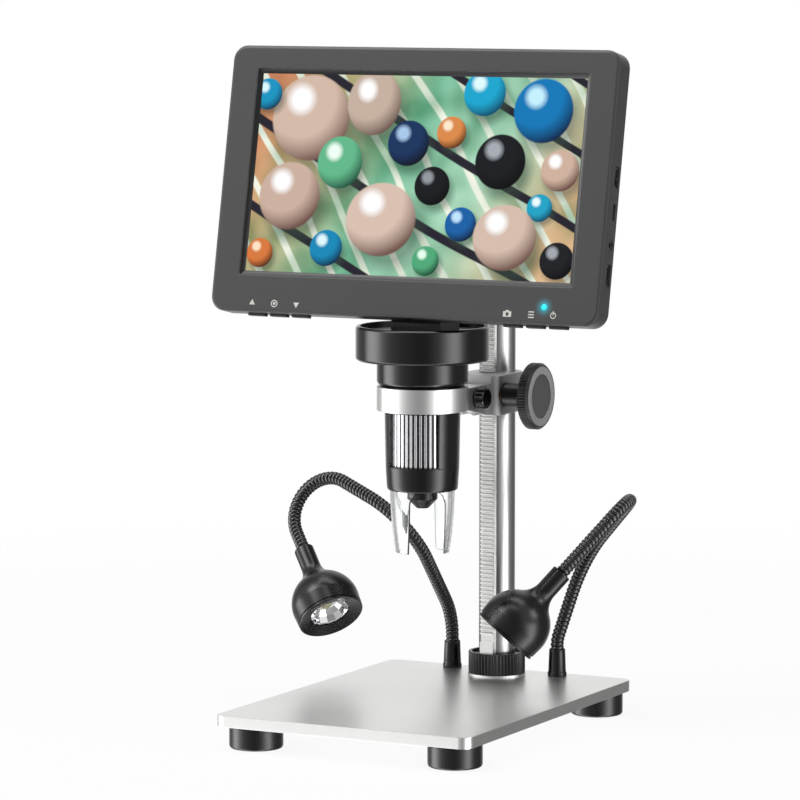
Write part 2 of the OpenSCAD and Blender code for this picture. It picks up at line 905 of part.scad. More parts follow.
module objective_lens() {
    color([0.6, 0.7, 0.9, 0.6])
        at_tube(front_low_z - nose_len)
            intersection() {
                translate([0, 0, 0.2])
                    cylinder(d = 3.4, h = 3);
                translate([0, 0, 4])
                    sphere(r = 4, $fn = 64);
            }
}

// ---------- screen ----------

module screen_frame() {
    translate([0, screen_y, screen_centre_z])
        rotate([-screen_lean, 0, 0])
            children();
}

screen_h = screen_above + screen_below;
screen_mid = (screen_above - screen_below) / 2;

// rounded slab in the screen's plane, from depth y0 to y1, drawn in by inset
module screen_slab(y0, y1, inset, mid = screen_mid, w = screen_w, h = screen_h, r = screen_corner_r) {
    translate([0, y1, mid])
        rotate([90, 0, 0])
            linear_extrude(y1 - y0)
                rounded_rect(w - 2 * inset, h - 2 * inset, max(r - inset, 0.8));
}

// ports on the right side: height above the lower edge, length, width
ports = [[63.3, 8.3, 2.8], [48.7, 6, 1.6], [22.1, 8.5, 3]];
jack_z = 34.9 - screen_below;
jack_d = 3.8;
port_back = 4.8;

module port_cut(p, grow) {
    translate([screen_w / 2 - 8, port_back - p[2] / 2 - grow, p[0] - screen_below - p[1] / 2 - grow])
        cube([10, p[2] + 2 * grow, p[1] + 2 * grow]);
}

module key_places() {
    for (g = [left_keys_x, right_keys_x], i = [-1:1])
        translate([g + i * button_pitch, button_back, -screen_below])
            children();
}

module front_bezel() {
    color("#555555")
        screen_frame()
            difference() {
                hull() {
                    screen_slab(bezel_face, bezel_face + 0.1, chamfer, $fn = 32);
                    screen_slab(bezel_face + chamfer, bezel_face + chamfer + 0.1, 0, $fn = 32);
                    screen_slab(bezel_back - 0.1, bezel_back, 0, $fn = 32);
                }
                // hollow behind the face
                translate([-screen_w / 2 + shell, 0, -screen_below + shell])
                    cube([screen_w - 2 * shell, bezel_depth, screen_h - 2 * shell]);
                // picture opening
                translate([-picture_w / 2 - opening_margin, bezel_face - 1, -picture_h / 2 - opening_margin])
                    cube([picture_w + 2 * opening_margin, 5, picture_h + 2 * opening_margin]);
                for (p = ports)
                    port_cut(p, 0.4);
                translate([screen_w / 2 - 8, port_back, jack_z])
                    rotate([0, 90, 0])
                        cylinder(d = jack_d + 0.6, h = 10);
                key_places()
                    translate([-button_w / 2 - apart, -button_depth / 2 - apart, -1])
                        cube([button_w + 2 * apart, button_depth + 2 * apart, shell + 2]);
                // hole for the power light
                translate([light_x, bezel_face - 1, light_z])
                    rotate([-90, 0, 0])
                        cylinder(d = light_d, h = 4, $fn = 32);
            }
}

module rear_cover() {
    inset = 6;
    color("#1e1e1e")
        screen_frame()
            difference() {
                hull() {
                    screen_slab(bezel_back, bezel_back + 1, 0.4, $fn = 32);
                    screen_slab(cover_back - 0.1, cover_back, inset, $fn = 32);
                }
                translate([-screen_w / 2 + inset + 3, bezel_back - 1, -screen_below + inset + 3])
                    cube([screen_w - 2 * inset - 6, cover_depth - shell + 1, screen_h - 2 * inset - 6]);
                for (p = cover_screw_places)
                    translate([p[0], bezel_back - 1, p[1]])
                        rotate([-90, 0, 0])
                            cylinder(d = 2.4, h = cover_depth + 2, $fn = 24);
            }
}

cover_screw_places = [
    for (sx = [-1, 1], z = [-screen_below + 13, screen_above - 13])
        [sx * (screen_w / 2 - 13), z]];
bracket_screw_places = [for (sx = [-1, 1], z = [hinge_up - 4, hinge_up + 4]) [sx * 9, z]];

module rear_screws() {
    color("dimgray")
        screen_frame()
            for (p = cover_screw_places)
                translate([p[0], cover_back - 3, p[1]])
                    rotate([-90, 0, 0])
                        difference() {
                            union() {
                                cylinder(d = 2.4, h = 3, $fn = 24);
                                translate([0, 0, 3])
                                    cylinder(d1 = 4.6, d2 = 3.6, h = 0.9, $fn = 32);
                            }
                            for (a = [0, 90])
                                rotate([0, 0, a])
                                    translate([-1.2, -0.25, 3.4])
                                        cube([2.4, 0.5, 1]);
                        }
}

module lcd_panel() {
    color("#101418")
        screen_frame()
            translate([-picture_w / 2 - panel_border, 0, -picture_h / 2 - panel_border])
                cube([picture_w + 2 * panel_border, panel_t, picture_h + 2 * panel_border]);
}

module main_board() {
    board_y = panel_t + 0.9;
    board_low = 8.4 - screen_below;
    board_w = picture_w + 5.8;
    color("darkgreen")
        screen_frame()
            union() {
                translate([-board_w / 2, board_y, board_low])
                    cube([board_w, 1.4, 60]);
                // chips
                translate([-12, board_y + 1.4, board_low + 32])
                    cube([14, 1, 14]);
                translate([14, board_y + 1.4, board_low + 30])
                    cube([9, 0.9, 12]);
                // key switches above the buttons
                for (g = [left_keys_x, right_keys_x], i = [-1:1])
                    translate([g + i * button_pitch - 2, button_back - 1.4, -screen_below + key_top + button_stroke + 0.3])
                        cube([4, 2.8, board_low + screen_below - key_top - button_stroke - 0.3 + 1.5]);
            }
}

module battery_pack() {
    color("#8090a0")
        screen_frame()
            translate([7 - picture_w / 2, 5.8, 17 - screen_below])
                cube([50, 5.2, 44]);
}

light_x = screen_w / 2 - 24.9;
light_z = 7.3 - screen_below;
light_d = 3;

module power_light() {
    color("cyan")
        screen_frame()
            translate([light_x, bezel_face + 0.1, light_z])
                rotate([-90, 0, 0])
                    cylinder(d = light_d, h = 4.4 - bezel_face - 0.1, $fn = 32);
}

module port_sockets() {
    color("silver")
        screen_frame() {
            for (p = ports)
                translate([screen_w / 2 - 9, port_back - p[2] / 2, p[0] - screen_below - p[1] / 2])
                    difference() {
                        cube([8.4, p[2], p[1]]);
                        translate([2, 0.3, 0.5])
                            cube([8, p[2] - 0.6, p[1] - 1]);
                    }
            translate([screen_w / 2 - 9, port_back, jack_z])
                rotate([0, 90, 0])
                    difference() {
                        cylinder(d = jack_d, h = 8.4);
                        translate([0, 0, 2])
                            cylinder(d = 2.6, h = 8);
                    }
        }
}

module at_hinge() {
    translate([0, hinge_back, hinge_up])
        children();
}

module hinge_bracket() {
    ear_x = neck_w / 2 + apart;
    color("#262626")
        screen_frame()
            difference() {
                union() {
                    translate([-ear_x - ear_t, cover_back, hinge_up - 7])
                        cube([2 * (ear_x + ear_t), hinge_plate_t, 20]);
                    for (x = [-ear_x - ear_t, ear_x])
                        translate([x, 0, 0])
                            rotate([90, 0, 90])
                                linear_extrude(ear_t)
                                    union() {
                                        polygon([[cover_back, hinge_up - 7], [hinge_back, hinge_up - knuckle_r],
                                            [hinge_back, hinge_up + knuckle_r], [cover_back, hinge_up + 13]]);
                                        translate([hinge_back, hinge_up])
                                            circle(r = knuckle_r);
                                    }
                }
                at_hinge()
                    translate([-neck_w, 0, 0])
                        rotate([0, 90, 0])
                            cylinder(d = hinge_pin_d, h = 2 * neck_w);
            }
}

module hinge_pin() {
    half = neck_w / 2 + apart + ear_t;
    color("silver")
        screen_frame()
            at_hinge()
                translate([-half - 0.6, 0, 0])
                    rotate([0, 90, 0])
                        cylinder(d = hinge_pin_d, h = 2 * half + 1.2);
}

key_top = shell + 0.3 + key_flange;

module push_button(group_x, i) {
    color("#303030")
        screen_frame()
            translate([group_x + i * button_pitch, button_back, -screen_below]) {
                translate([-button_w / 2, -button_depth / 2, -button_proud])
                    cube([button_w, button_depth, button_proud + key_top]);
                translate([-button_w / 2 - 0.9, -button_depth / 2 - 0.7, shell + 0.3])
                    cube([button_w + 1.8, button_depth + 1.4, key_flange]);
            }
}

module up_button() {
    push_button(left_keys_x, -1);
}

module ok_button() {
    push_button(left_keys_x, 0);
}

module down_button() {
    push_button(left_keys_x, 1);
}

module photo_button() {
    push_button(right_keys_x, -1);
}

module menu_button() {
    push_button(right_keys_x, 0);
}

module power_button() {
    push_button(right_keys_x, 1);
}

// ---------- lamps ----------

module bend_arc(r, angle) {
    translate([r, 0, 0])
        rotate([90, 0, 180])
            rotate_extrude(angle = angle)
                translate([r, 0])
                    circle(d = gooseneck_d, $fn = 48);
}

// moves to the end of a bent neck, whose bends are [straight, direction, radius, angle]
module after_bends(bends, i = 0) {
    if (i < len(bends))
        translate([0, 0, bends[i][0]])
            rotate([0, 0, bends[i][1]])
                translate([bends[i][2], 0, 0])
                    rotate([0, bends[i][3], 0])
                        translate([-bends[i][2], 0, 0])
                            after_bends(bends, i + 1)
                                children();
    else
        children();
}

module bent_neck(bends, tail, i = 0) {
    start = i > 0 ? -straight_lap : 0;
    if (i < len(bends)) {
        translate([0, 0, start])
            cylinder(d = straight_d, h = bends[i][0] + straight_lap - start, $fn = 48);
        translate([0, 0, bends[i][0]])
            rotate([0, 0, bends[i][1]]) {
                bend_arc(bends[i][2], bends[i][3]);
                translate([bends[i][2], 0, 0])
                    rotate([0, bends[i][3], 0])
                        translate([-bends[i][2], 0, 0])
                            bent_neck(bends, tail, i + 1);
            }
    }
    else
        translate([0, 0, start])
            cylinder(d = straight_d, h = tail - start, $fn = 48);
}

module at_socket(side) {
    translate([side * lamp_side, socket_y, plate_top + socket_h - socket_bore_depth])
        children();
}

// the head's frame: Z runs from the sleeve's mouth to the lamp's face
module at_head(side, bends, tail) {
    at_socket(side)
        after_bends(bends)
            translate([0, 0, tail])
                children();
}

module left_gooseneck() {
    color("#181818")
        at_socket(-1)
            bent_neck(left_bends, left_tail + neck_in_head);
}

module right_gooseneck() {
    color("#181818")
        at_socket(1)
            bent_neck(right_bends, right_tail + neck_in_head);
}

dome_r = 15.2;
dome_up = 7.2;
blend_r = 7;
shade_wall = 1.5;

// half outline of the shade, with Y counted back from the face
module shade_outline() {
    sleeve_r = lamp_sleeve_d / 2;
    blend_up = dome_up + sqrt(pow(dome_r + blend_r, 2) - pow(sleeve_r + blend_r, 2));
    blend_x = sleeve_r + blend_r;
    touch = dome_r / (dome_r + blend_r);
    difference() {
        union() {
            polygon([[0, 0], [lamp_face_d / 2, 0], [dome_r, dome_up], [0, dome_up]]);
            intersection() {
                translate([0, dome_up])
                    circle(r = dome_r);
                translate([0, dome_up - eps])
                    square([dome_r, dome_r + 1]);
            }
            square([sleeve_r, lamp_len]);
            polygon([[0, dome_up], [blend_x * touch, dome_up + (blend_up - dome_up) * touch],
                [blend_x, blend_up], [0, blend_up]]);
        }
        translate([blend_x, blend_up])
            circle(r = blend_r);
    }
}

module lamp_head(side, bends, tail) {
    color("#1e1e1e")
        at_head(side, bends, tail)
            translate([0, 0, lamp_len])
                rotate([180, 0, 0])
                    difference() {
                        rotate_extrude()
                            shade_outline();
                        // sloping face and the seat of the reflector
                        translate([0, 0, -eps])
                            cylinder(d1 = lamp_face_d - 1.2, d2 = reflector_d + 0.6, h = 2.4 + eps);
                        cylinder(d = reflector_d + 0.6, h = 10);
                        // bore for the gooseneck
                        translate([0, 0, lamp_len - neck_in_head])
                            cylinder(d = gooseneck_d, h = neck_in_head + 1);
                    }
}

module left_lamp_head() {
    lamp_head(-1, left_bends, left_tail);
}

module right_lamp_head() {
    lamp_head(1, right_bends, right_tail);
}

module reflector(side, bends, tail) {
    color("gainsboro")
        at_head(side, bends, tail)
            translate([0, 0, lamp_len])
                rotate([180, 0, 0])
                    difference() {
                        translate([0, 0, 2.4])
                            cylinder(d = reflector_d + 0.6, h = 7.6);
                        translate([0, 0, 2.4 - eps])
                            cylinder(d1 = reflector_d - 0.6, d2 = 6.4, h = 6 + eps);
                    }
}

module left_reflector() {
    reflector(-1, left_bends, left_tail);
}

module right_reflector() {
    reflector(1, right_bends, right_tail);
}

module led(side, bends, tail) {
    color("lightyellow")
        at_head(side, bends, tail)
            translate([0, 0, lamp_len])
                rotate([180, 0, 0])
                    translate([0, 0, 6.6])
                        union() {
                            cylinder(d = 5.6, h = 1.8);
                            sphere(d = 3.6, $fn = 48);
                        }
}

module left_led() {
    led(-1, left_bends, left_tail);
}

module right_led() {
    led(1, right_bends, right_tail);
}

base_plate();
rubber_feet();
foot_screws();
column_tube();
toothed_rack();
column_collar();
collar_washer();
column_bolt();
column_cap();
left_lamp_socket();
right_lamp_socket();
carriage_block();
tube_clamp();
clamp_arm_screws();
brake_screw();
pinion_bush();
pinion_shaft();
pinion_gear();
height_knob();
knob_face();
knob_cap();
thumb_screw();
head_housing();
head_lid();
screen_neck();
collar_ring();
barrel_casing();
front_collar();
guide_sleeve();
led_ring();
clear_spacer();
sensor_board();
focus_wheel();
lens_barrel();
objective_lens();
front_bezel();
rear_cover();
lcd_panel();
main_board();
battery_pack();
power_light();
port_sockets();
rear_screws();
hinge_bracket();
hinge_pin();
up_button();
ok_button();
down_button();
photo_button();
menu_button();
power_button();
left_gooseneck();
left_lamp_head();
left_reflector();
left_led();
right_gooseneck();
right_lamp_head();
right_reflector();
right_led();
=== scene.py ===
import json
import math

import bmesh
import bpy
from mathutils import Matrix, Vector


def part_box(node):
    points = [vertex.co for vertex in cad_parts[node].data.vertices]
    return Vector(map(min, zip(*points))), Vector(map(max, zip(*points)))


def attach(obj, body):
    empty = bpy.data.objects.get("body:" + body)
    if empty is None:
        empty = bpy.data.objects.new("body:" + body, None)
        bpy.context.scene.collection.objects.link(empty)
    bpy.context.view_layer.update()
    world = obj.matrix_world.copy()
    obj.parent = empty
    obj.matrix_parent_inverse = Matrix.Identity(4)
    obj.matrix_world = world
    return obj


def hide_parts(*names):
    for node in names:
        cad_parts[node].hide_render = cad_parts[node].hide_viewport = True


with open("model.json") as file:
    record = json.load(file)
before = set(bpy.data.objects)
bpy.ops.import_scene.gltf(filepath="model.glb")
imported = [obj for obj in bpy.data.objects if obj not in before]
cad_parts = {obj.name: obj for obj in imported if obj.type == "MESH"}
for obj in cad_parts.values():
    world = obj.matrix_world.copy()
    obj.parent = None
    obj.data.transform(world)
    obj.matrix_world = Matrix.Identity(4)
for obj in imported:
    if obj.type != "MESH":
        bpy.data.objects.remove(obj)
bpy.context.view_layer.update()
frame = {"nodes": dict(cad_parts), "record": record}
record = frame["record"]
bodyOf = {node: body for body, nodes in record["behaviour"]["bodies"].items() for node in nodes}
slotOf = {part["node"]: part["material_slot"] for part in record["subparts"]}
finishes = {}  # material slot -> Blender material
print("frame loaded,", len(frame["nodes"]), "nodes")


def pickOnly(piece):
    if bpy.context.mode != "OBJECT":
        bpy.ops.object.mode_set(mode="OBJECT")
    bpy.ops.object.select_all(action="DESELECT")
    piece.select_set(True)
    bpy.context.view_layer.objects.active = piece


def editPart(piece, kind, test):
    # edit mode, with only the points, edges or faces that pass the test picked
    if bpy.context.mode == "OBJECT":
        pickOnly(piece)
        bpy.ops.object.mode_set(mode="EDIT")
    bpy.ops.mesh.select_mode(type=kind)
    bpy.ops.mesh.select_all(action="DESELECT")
    shape = bmesh.from_edit_mesh(piece.data)
    for item in {"VERT": shape.verts, "EDGE": shape.edges, "FACE": shape.faces}[kind]:
        if test(item):
            item.select_set(True)
    shape.select_flush_mode()
    bmesh.update_edit_mesh(piece.data)


def editDone():
    bpy.ops.object.mode_set(mode="OBJECT")


def newBlock(name, low, high):
    bpy.ops.object.select_all(action="DESELECT")
    centre = [(a + b) / 2 for a, b in zip(low, high)]
    size = [b - a for a, b in zip(low, high)]
    bpy.ops.mesh.primitive_cube_add(size=1, location=centre, scale=size)
    piece = bpy.context.object
    piece.name = piece.data.name = name
    bpy.ops.object.transform_apply(location=True, rotation=True, scale=True)
    return piece


def newRod(name, radius, low, high, turn):
    # as long as low and high are apart, about their middle; turn lays its axis along them
    bpy.ops.object.select_all(action="DESELECT")
    middle = (Vector(low) + Vector(high)) / 2
    length = (Vector(high) - Vector(low)).length
    bpy.ops.mesh.primitive_cylinder_add(vertices=32, radius=radius, depth=length, location=middle,
                                        rotation=turn)
    piece = bpy.context.object
    piece.name = piece.data.name = name
    bpy.ops.object.transform_apply(location=True, rotation=True, scale=True)
    return piece


def newSpun(name, outline, steps):
    # a point drawn along the outline, (radius, height), and spun about Z
    bpy.ops.object.select_all(action="DESELECT")
    (x, z), *rest = outline
    bpy.ops.mesh.primitive_plane_add(size=1, location=(x, 0, z))
    piece = bpy.context.object
    piece.name = piece.data.name = name
    bpy.ops.object.transform_apply(location=True, rotation=True, scale=True)
    editPart(piece, "VERT", lambda v: True)
    bpy.ops.mesh.merge(type="CENTER")
    for nextX, nextZ in rest:
        bpy.ops.mesh.extrude_region_move(TRANSFORM_OT_translate={"value": (nextX - x, 0, nextZ - z)})
        x, z = nextX, nextZ
    bpy.ops.mesh.select_all(action="SELECT")
    bpy.ops.mesh.spin(steps=steps, angle=2 * math.pi, center=(0, 0, 0), axis=(0, 0, 1))
    bpy.ops.mesh.select_all(action="SELECT")
    bpy.ops.mesh.remove_doubles(threshold=0.0005)
    bpy.ops.mesh.normals_make_consistent(inside=False)
    editDone()
    return piece


def joined(name, parts):
    pickOnly(parts[0])
    for part in parts:
        part.select_set(True)
    bpy.ops.object.join()
    parts[0].name = parts[0].data.name = name
    return parts[0]


def finishWith(piece, kind, **settings):
    pickOnly(piece)
    modifier = piece.modifiers.new(kind.title(), kind)
    for setting, value in settings.items():
        setattr(modifier, setting, value)
    bpy.ops.object.modifier_apply(modifier=modifier.name)
    return piece


def cutAway(piece, cutter):
    finishWith(piece, "BOOLEAN", object=cutter, operation="DIFFERENCE", solver="EXACT")
    bpy.data.objects.remove(cutter, do_unlink=True)
    return piece


def smoothShaded(piece, degrees=32):
    # large faces lead the shading, so that they stay flat beside a rounded edge
    pickOnly(piece)
    bpy.ops.object.shade_smooth_by_angle(angle=math.radians(degrees))
    return finishWith(piece, "WEIGHTED_NORMAL", weight=50, keep_sharp=True)


def applyPlace(piece, place):
    piece.matrix_world = place
    pickOnly(piece)
    bpy.ops.object.transform_apply(location=True, rotation=True, scale=True)
    return piece


def handIn(piece, body, slot, nodes=(), material=None):
    # gives it its finish, from its material slot unless a material is passed, hides the CAD nodes that it
    # stands in for, and hangs it on the body that it moves with
    piece.data.materials.clear()
    piece.data.materials.append(material or finishes[slot])
    if nodes:
        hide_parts(*nodes)
    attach(piece, body)
    return piece


def softCopy(node, edge, material=None):
    # the node's own shape with its edges broken, as machining or a mould leaves them; edge is in millimetres
    piece = bpy.data.objects.new(node + "_soft", frame["nodes"][node].data.copy())
    bpy.context.scene.collection.objects.link(piece)
    editPart(piece, "VERT", lambda v: True)
    bpy.ops.mesh.remove_doubles(threshold=0.000002)  # metres, as the node's mesh is
    bpy.ops.mesh.tris_convert_to_quads(face_threshold=math.radians(0.6), shape_threshold=math.pi)
    bpy.ops.mesh.normals_make_consistent(inside=False)
    editDone()
    if edge:
        finishWith(piece, "BEVEL", width=edge / 1000, segments=2, limit_method="ANGLE",
                   angle_limit=math.radians(38), use_clamp_overlap=False, loop_slide=False)
    smoothShaded(piece)
    return handIn(piece, bodyOf[node], slotOf[node], [node], material)


# metres, degrees, and millimetres for the lens and sensor
cameraView = {"spot": (0.85387, -1.68554, 0.34281), "down": 6.014, "turn": 27.233, "lens": 199.42,
              "sensor": 36, "clip": (0.05, 60)}


def makeCamera(look):
    data = bpy.data.cameras.new("camera")
    data.lens = look["lens"]
    data.sensor_width = look["sensor"]
    data.clip_start, data.clip_end = look["clip"]
    camera = bpy.data.objects.new("camera", data)
    bpy.context.scene.collection.objects.link(camera)
    camera.location = look["spot"]
    camera.rotation_euler = (math.radians(90 - look["down"]), 0, math.radians(look["turn"]))
    bpy.context.scene.camera = camera


makeCamera(cameraView)
print("camera placed")


def linear(hexText):
    # sRGB hex to linear light
    parts = [int(hexText[i:i + 2], 16) / 255 for i in (1, 3, 5)]
    return (*[c / 12.92 if c <= 0.04045 else ((c + 0.055) / 1.055) ** 2.4 for c in parts], 1)


def addNode(tree, kind, inputs=None, stops=None, **settings):
    # inputs are values or the sockets they are linked to; stops are a ramp's, as hex or as a level of grey
    made = tree.nodes.new(kind)
    for setting, value in settings.items():
        setattr(made, setting, value)
    for key, value in (inputs or {}).items():
        if isinstance(value, bpy.types.NodeSocket):
            tree.links.new(value, made.inputs[key])
        else:
            made.inputs[key].default_value = value
    if stops:
        ramp = made.color_ramp.elements
        while len(ramp) < len(stops):
            ramp.new(0.5)
        for element, (place, colour) in zip(ramp, stops):
            element.position = place
            element.color = linear(colour) if isinstance(colour, str) else (colour, colour, colour, 1)
    return made


def newFinish(name):
    material = bpy.data.materials.new(name)
    material.use_nodes = True
    tree = material.node_tree
    tree.nodes.clear()
    shader = addNode(tree, "ShaderNodeBsdfPrincipled")
    addNode(tree, "ShaderNodeOutputMaterial", {"Surface": shader.outputs["BSDF"]})
    place = addNode(tree, "ShaderNodeTexCoord").outputs["Object"]
    return material, tree, shader, place


def driftAndGrain(tree, shader, place, along, look):
    # shade that drifts over a few centimetres, and a grain that shows in both roughness and relief
    drift = addNode(tree, "ShaderNodeTexNoise", {"Vector": place, "Scale": 1000 / look["drift"], "Detail": 2})
    shade = addNode(tree, "ShaderNodeValToRGB", {"Fac": drift.outputs["Fac"]},
                    stops=[(0.3, look["shade"]), (0.7, look["colour"])])
    grain = addNode(tree, "ShaderNodeTexNoise", {"Vector": along, "Scale": 1000 / look["grain"], "Detail": 3})
    rough = addNode(tree, "ShaderNodeMapRange", {
        "Value": grain.outputs["Fac"], "From Min": 0.3, "From Max": 0.7,
        "To Min": look["rough"] - look["spread"], "To Max": look["rough"] + look["spread"]})
    relief = addNode(tree, "ShaderNodeBump", {"Height": grain.outputs["Fac"], "Strength": look["strength"],
                                              "Distance": look["relief"] / 1000})
    tree.links.new(shade.outputs["Color"], shader.inputs["Base Color"])
    tree.links.new(rough.outputs["Result"], shader.inputs["Roughness"])
    tree.links.new(relief.outputs["Normal"], shader.inputs["Normal"])


def mouldedOrCoated(name, look):
    # plastic, rubber, lacquer or a dyed oxide layer: a body colour under one clear reflection
    material, tree, shader, place = newFinish(name)
    driftAndGrain(tree, shader, place, place, {"spread": 0.04, **look})
    shader.inputs["IOR"].default_value = 1.5
    shader.inputs["Specular IOR Level"].default_value = look.get("gloss", 0.5)
    return material


def bareMetal(name, look):
    # blasted, drawn, turned or plated metal: "stretch" draws the grain out along one axis
    material, tree, shader, place = newFinish(name)
    drawn = addNode(tree, "ShaderNodeMapping", {"Vector": place, "Scale": look.get("stretch", (1, 1, 1))})
    driftAndGrain(tree, shader, place, drawn.outputs["Vector"], look)
    shader.inputs["Metallic"].default_value = 1
    return material


def knurledChrome(name, look):
    # chrome over cut ribs: bright crests, and painted shade that darkens the grooves by their depth
    material, tree, shader, place = newFinish(name)
    across = addNode(tree, "ShaderNodeVectorMath", {0: place, 1: look["axis"]}, operation="SUBTRACT")
    flat = addNode(tree, "ShaderNodeVectorMath", {0: across.outputs["Vector"], 1: (1, 1, 0)},
                   operation="MULTIPLY")
    out = addNode(tree, "ShaderNodeVectorMath", {0: flat.outputs["Vector"]}, operation="LENGTH")
    depth = addNode(tree, "ShaderNodeMapRange", {
        "Value": out.outputs["Value"], "From Min": look["groove"] / 1000, "From Max": look["crest"] / 1000})
    # painted shade: the colour goes darker toward the groove bottoms
    shade = addNode(tree, "ShaderNodeValToRGB", {"Fac": depth.outputs["Result"]}, stops=look["stops"])
    rough = addNode(tree, "ShaderNodeMapRange", {
        "Value": depth.outputs["Result"], "To Min": look["rough"][0], "To Max": look["rough"][1]})
    tree.links.new(shade.outputs["Color"], shader.inputs["Base Color"])
    tree.links.new(rough.outputs["Result"], shader.inputs["Roughness"])
    shader.inputs["Metallic"].default_value = 1
    return material


def clearMaterial(name, look):
    # cast acrylic or polished lens glass: faint waves from the mould keep the edges alive
    material, tree, shader, place = newFinish(name)
    wave = addNode(tree, "ShaderNodeTexNoise", {"Vector": place, "Scale": 1000 / look["wave"], "Detail": 1})
    relief = addNode(tree, "ShaderNodeBump", {"Height": wave.outputs["Fac"], "Strength": look["strength"],
                                              "Distance": look["relief"] / 1000})
    tint = addNode(tree, "ShaderNodeValToRGB", {"Fac": wave.outputs["Fac"]},
                   stops=[(0.3, look["shade"]), (0.7, look["colour"])])
    tree.links.new(relief.outputs["Normal"], shader.inputs["Normal"])
    tree.links.new(tint.outputs["Color"], shader.inputs["Base Color"])
    shader.inputs["Transmission Weight"].default_value = 1
    shader.inputs["Roughness"].default_value = look["rough"]
    shader.inputs["IOR"].default_value = look["ior"]
    return material


def circuitBoard(name, look):
    # glass fibre board under solder mask: glossy, with paler tracks that show through
    material, tree, shader, place = newFinish(name)
    tracks = addNode(tree, "ShaderNodeTexBrick", {
        "Vector": place, "Scale": look["cellsPerMetre"], "Mortar Size": look["track"],
        "Color1": linear(look["mask"][0]), "Color2": linear(look["mask"][1]),
        "Mortar": linear(look["trackColour"])})
    tree.links.new(tracks.outputs["Color"], shader.inputs["Base Color"])
    shader.inputs["Roughness"].default_value = look["rough"]
    return material


def glowingLens(name, look):
    # tinted epoxy lens lit from behind: hot middle, deeper colour at the rim
    material, tree, shader, place = newFinish(name)
    local = addNode(tree, "ShaderNodeMapping", {
        "Vector": place, "Location": look["spot"], "Rotation": look["turn"],
        "Scale": tuple(side / 1000 for side in look["size"])}, vector_type="TEXTURE")
    ball = addNode(tree, "ShaderNodeTexGradient", {"Vector": local.outputs["Vector"]},
                   gradient_type="SPHERICAL")
    glow = addNode(tree, "ShaderNodeValToRGB", {"Fac": ball.outputs["Fac"]}, stops=look["stops"])
    tree.links.new(glow.outputs["Color"], shader.inputs["Emission Color"])
    tree.links.new(glow.outputs["Color"], shader.inputs["Base Color"])
    shader.inputs["Emission Strength"].default_value = look["strength"]
    shader.inputs["Roughness"].default_value = look["rough"]
    return material


# the screen's own frame: millimetres from the middle of its picture, X right, Y back and Z up, leaning back
screenSpot, screenLean = (0, -0.0135, 0.2404), math.radians(-11.4)
screenPlace = Matrix.Translation(screenSpot) @ Matrix.Rotation(screenLean, 4, "X") @ Matrix.Scale(0.001, 4)


def screenPoint(spot):
    return tuple(screenPlace @ Vector(spot))


powerLight = {"spot": (67.1, -1.9, -53.6), "bore": 1.5, "lens": (2.1, 10, 2.1), "halo": 4.8,
              "spill": [(0.0, "#000000"), (0.5, "#0e8391"), (1.0, "#1fb6c6")]}
wheelLow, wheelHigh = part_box("focus_wheel")
wheelAxis = [(a + b) / 2 for a, b in zip(wheelLow, wheelHigh)]

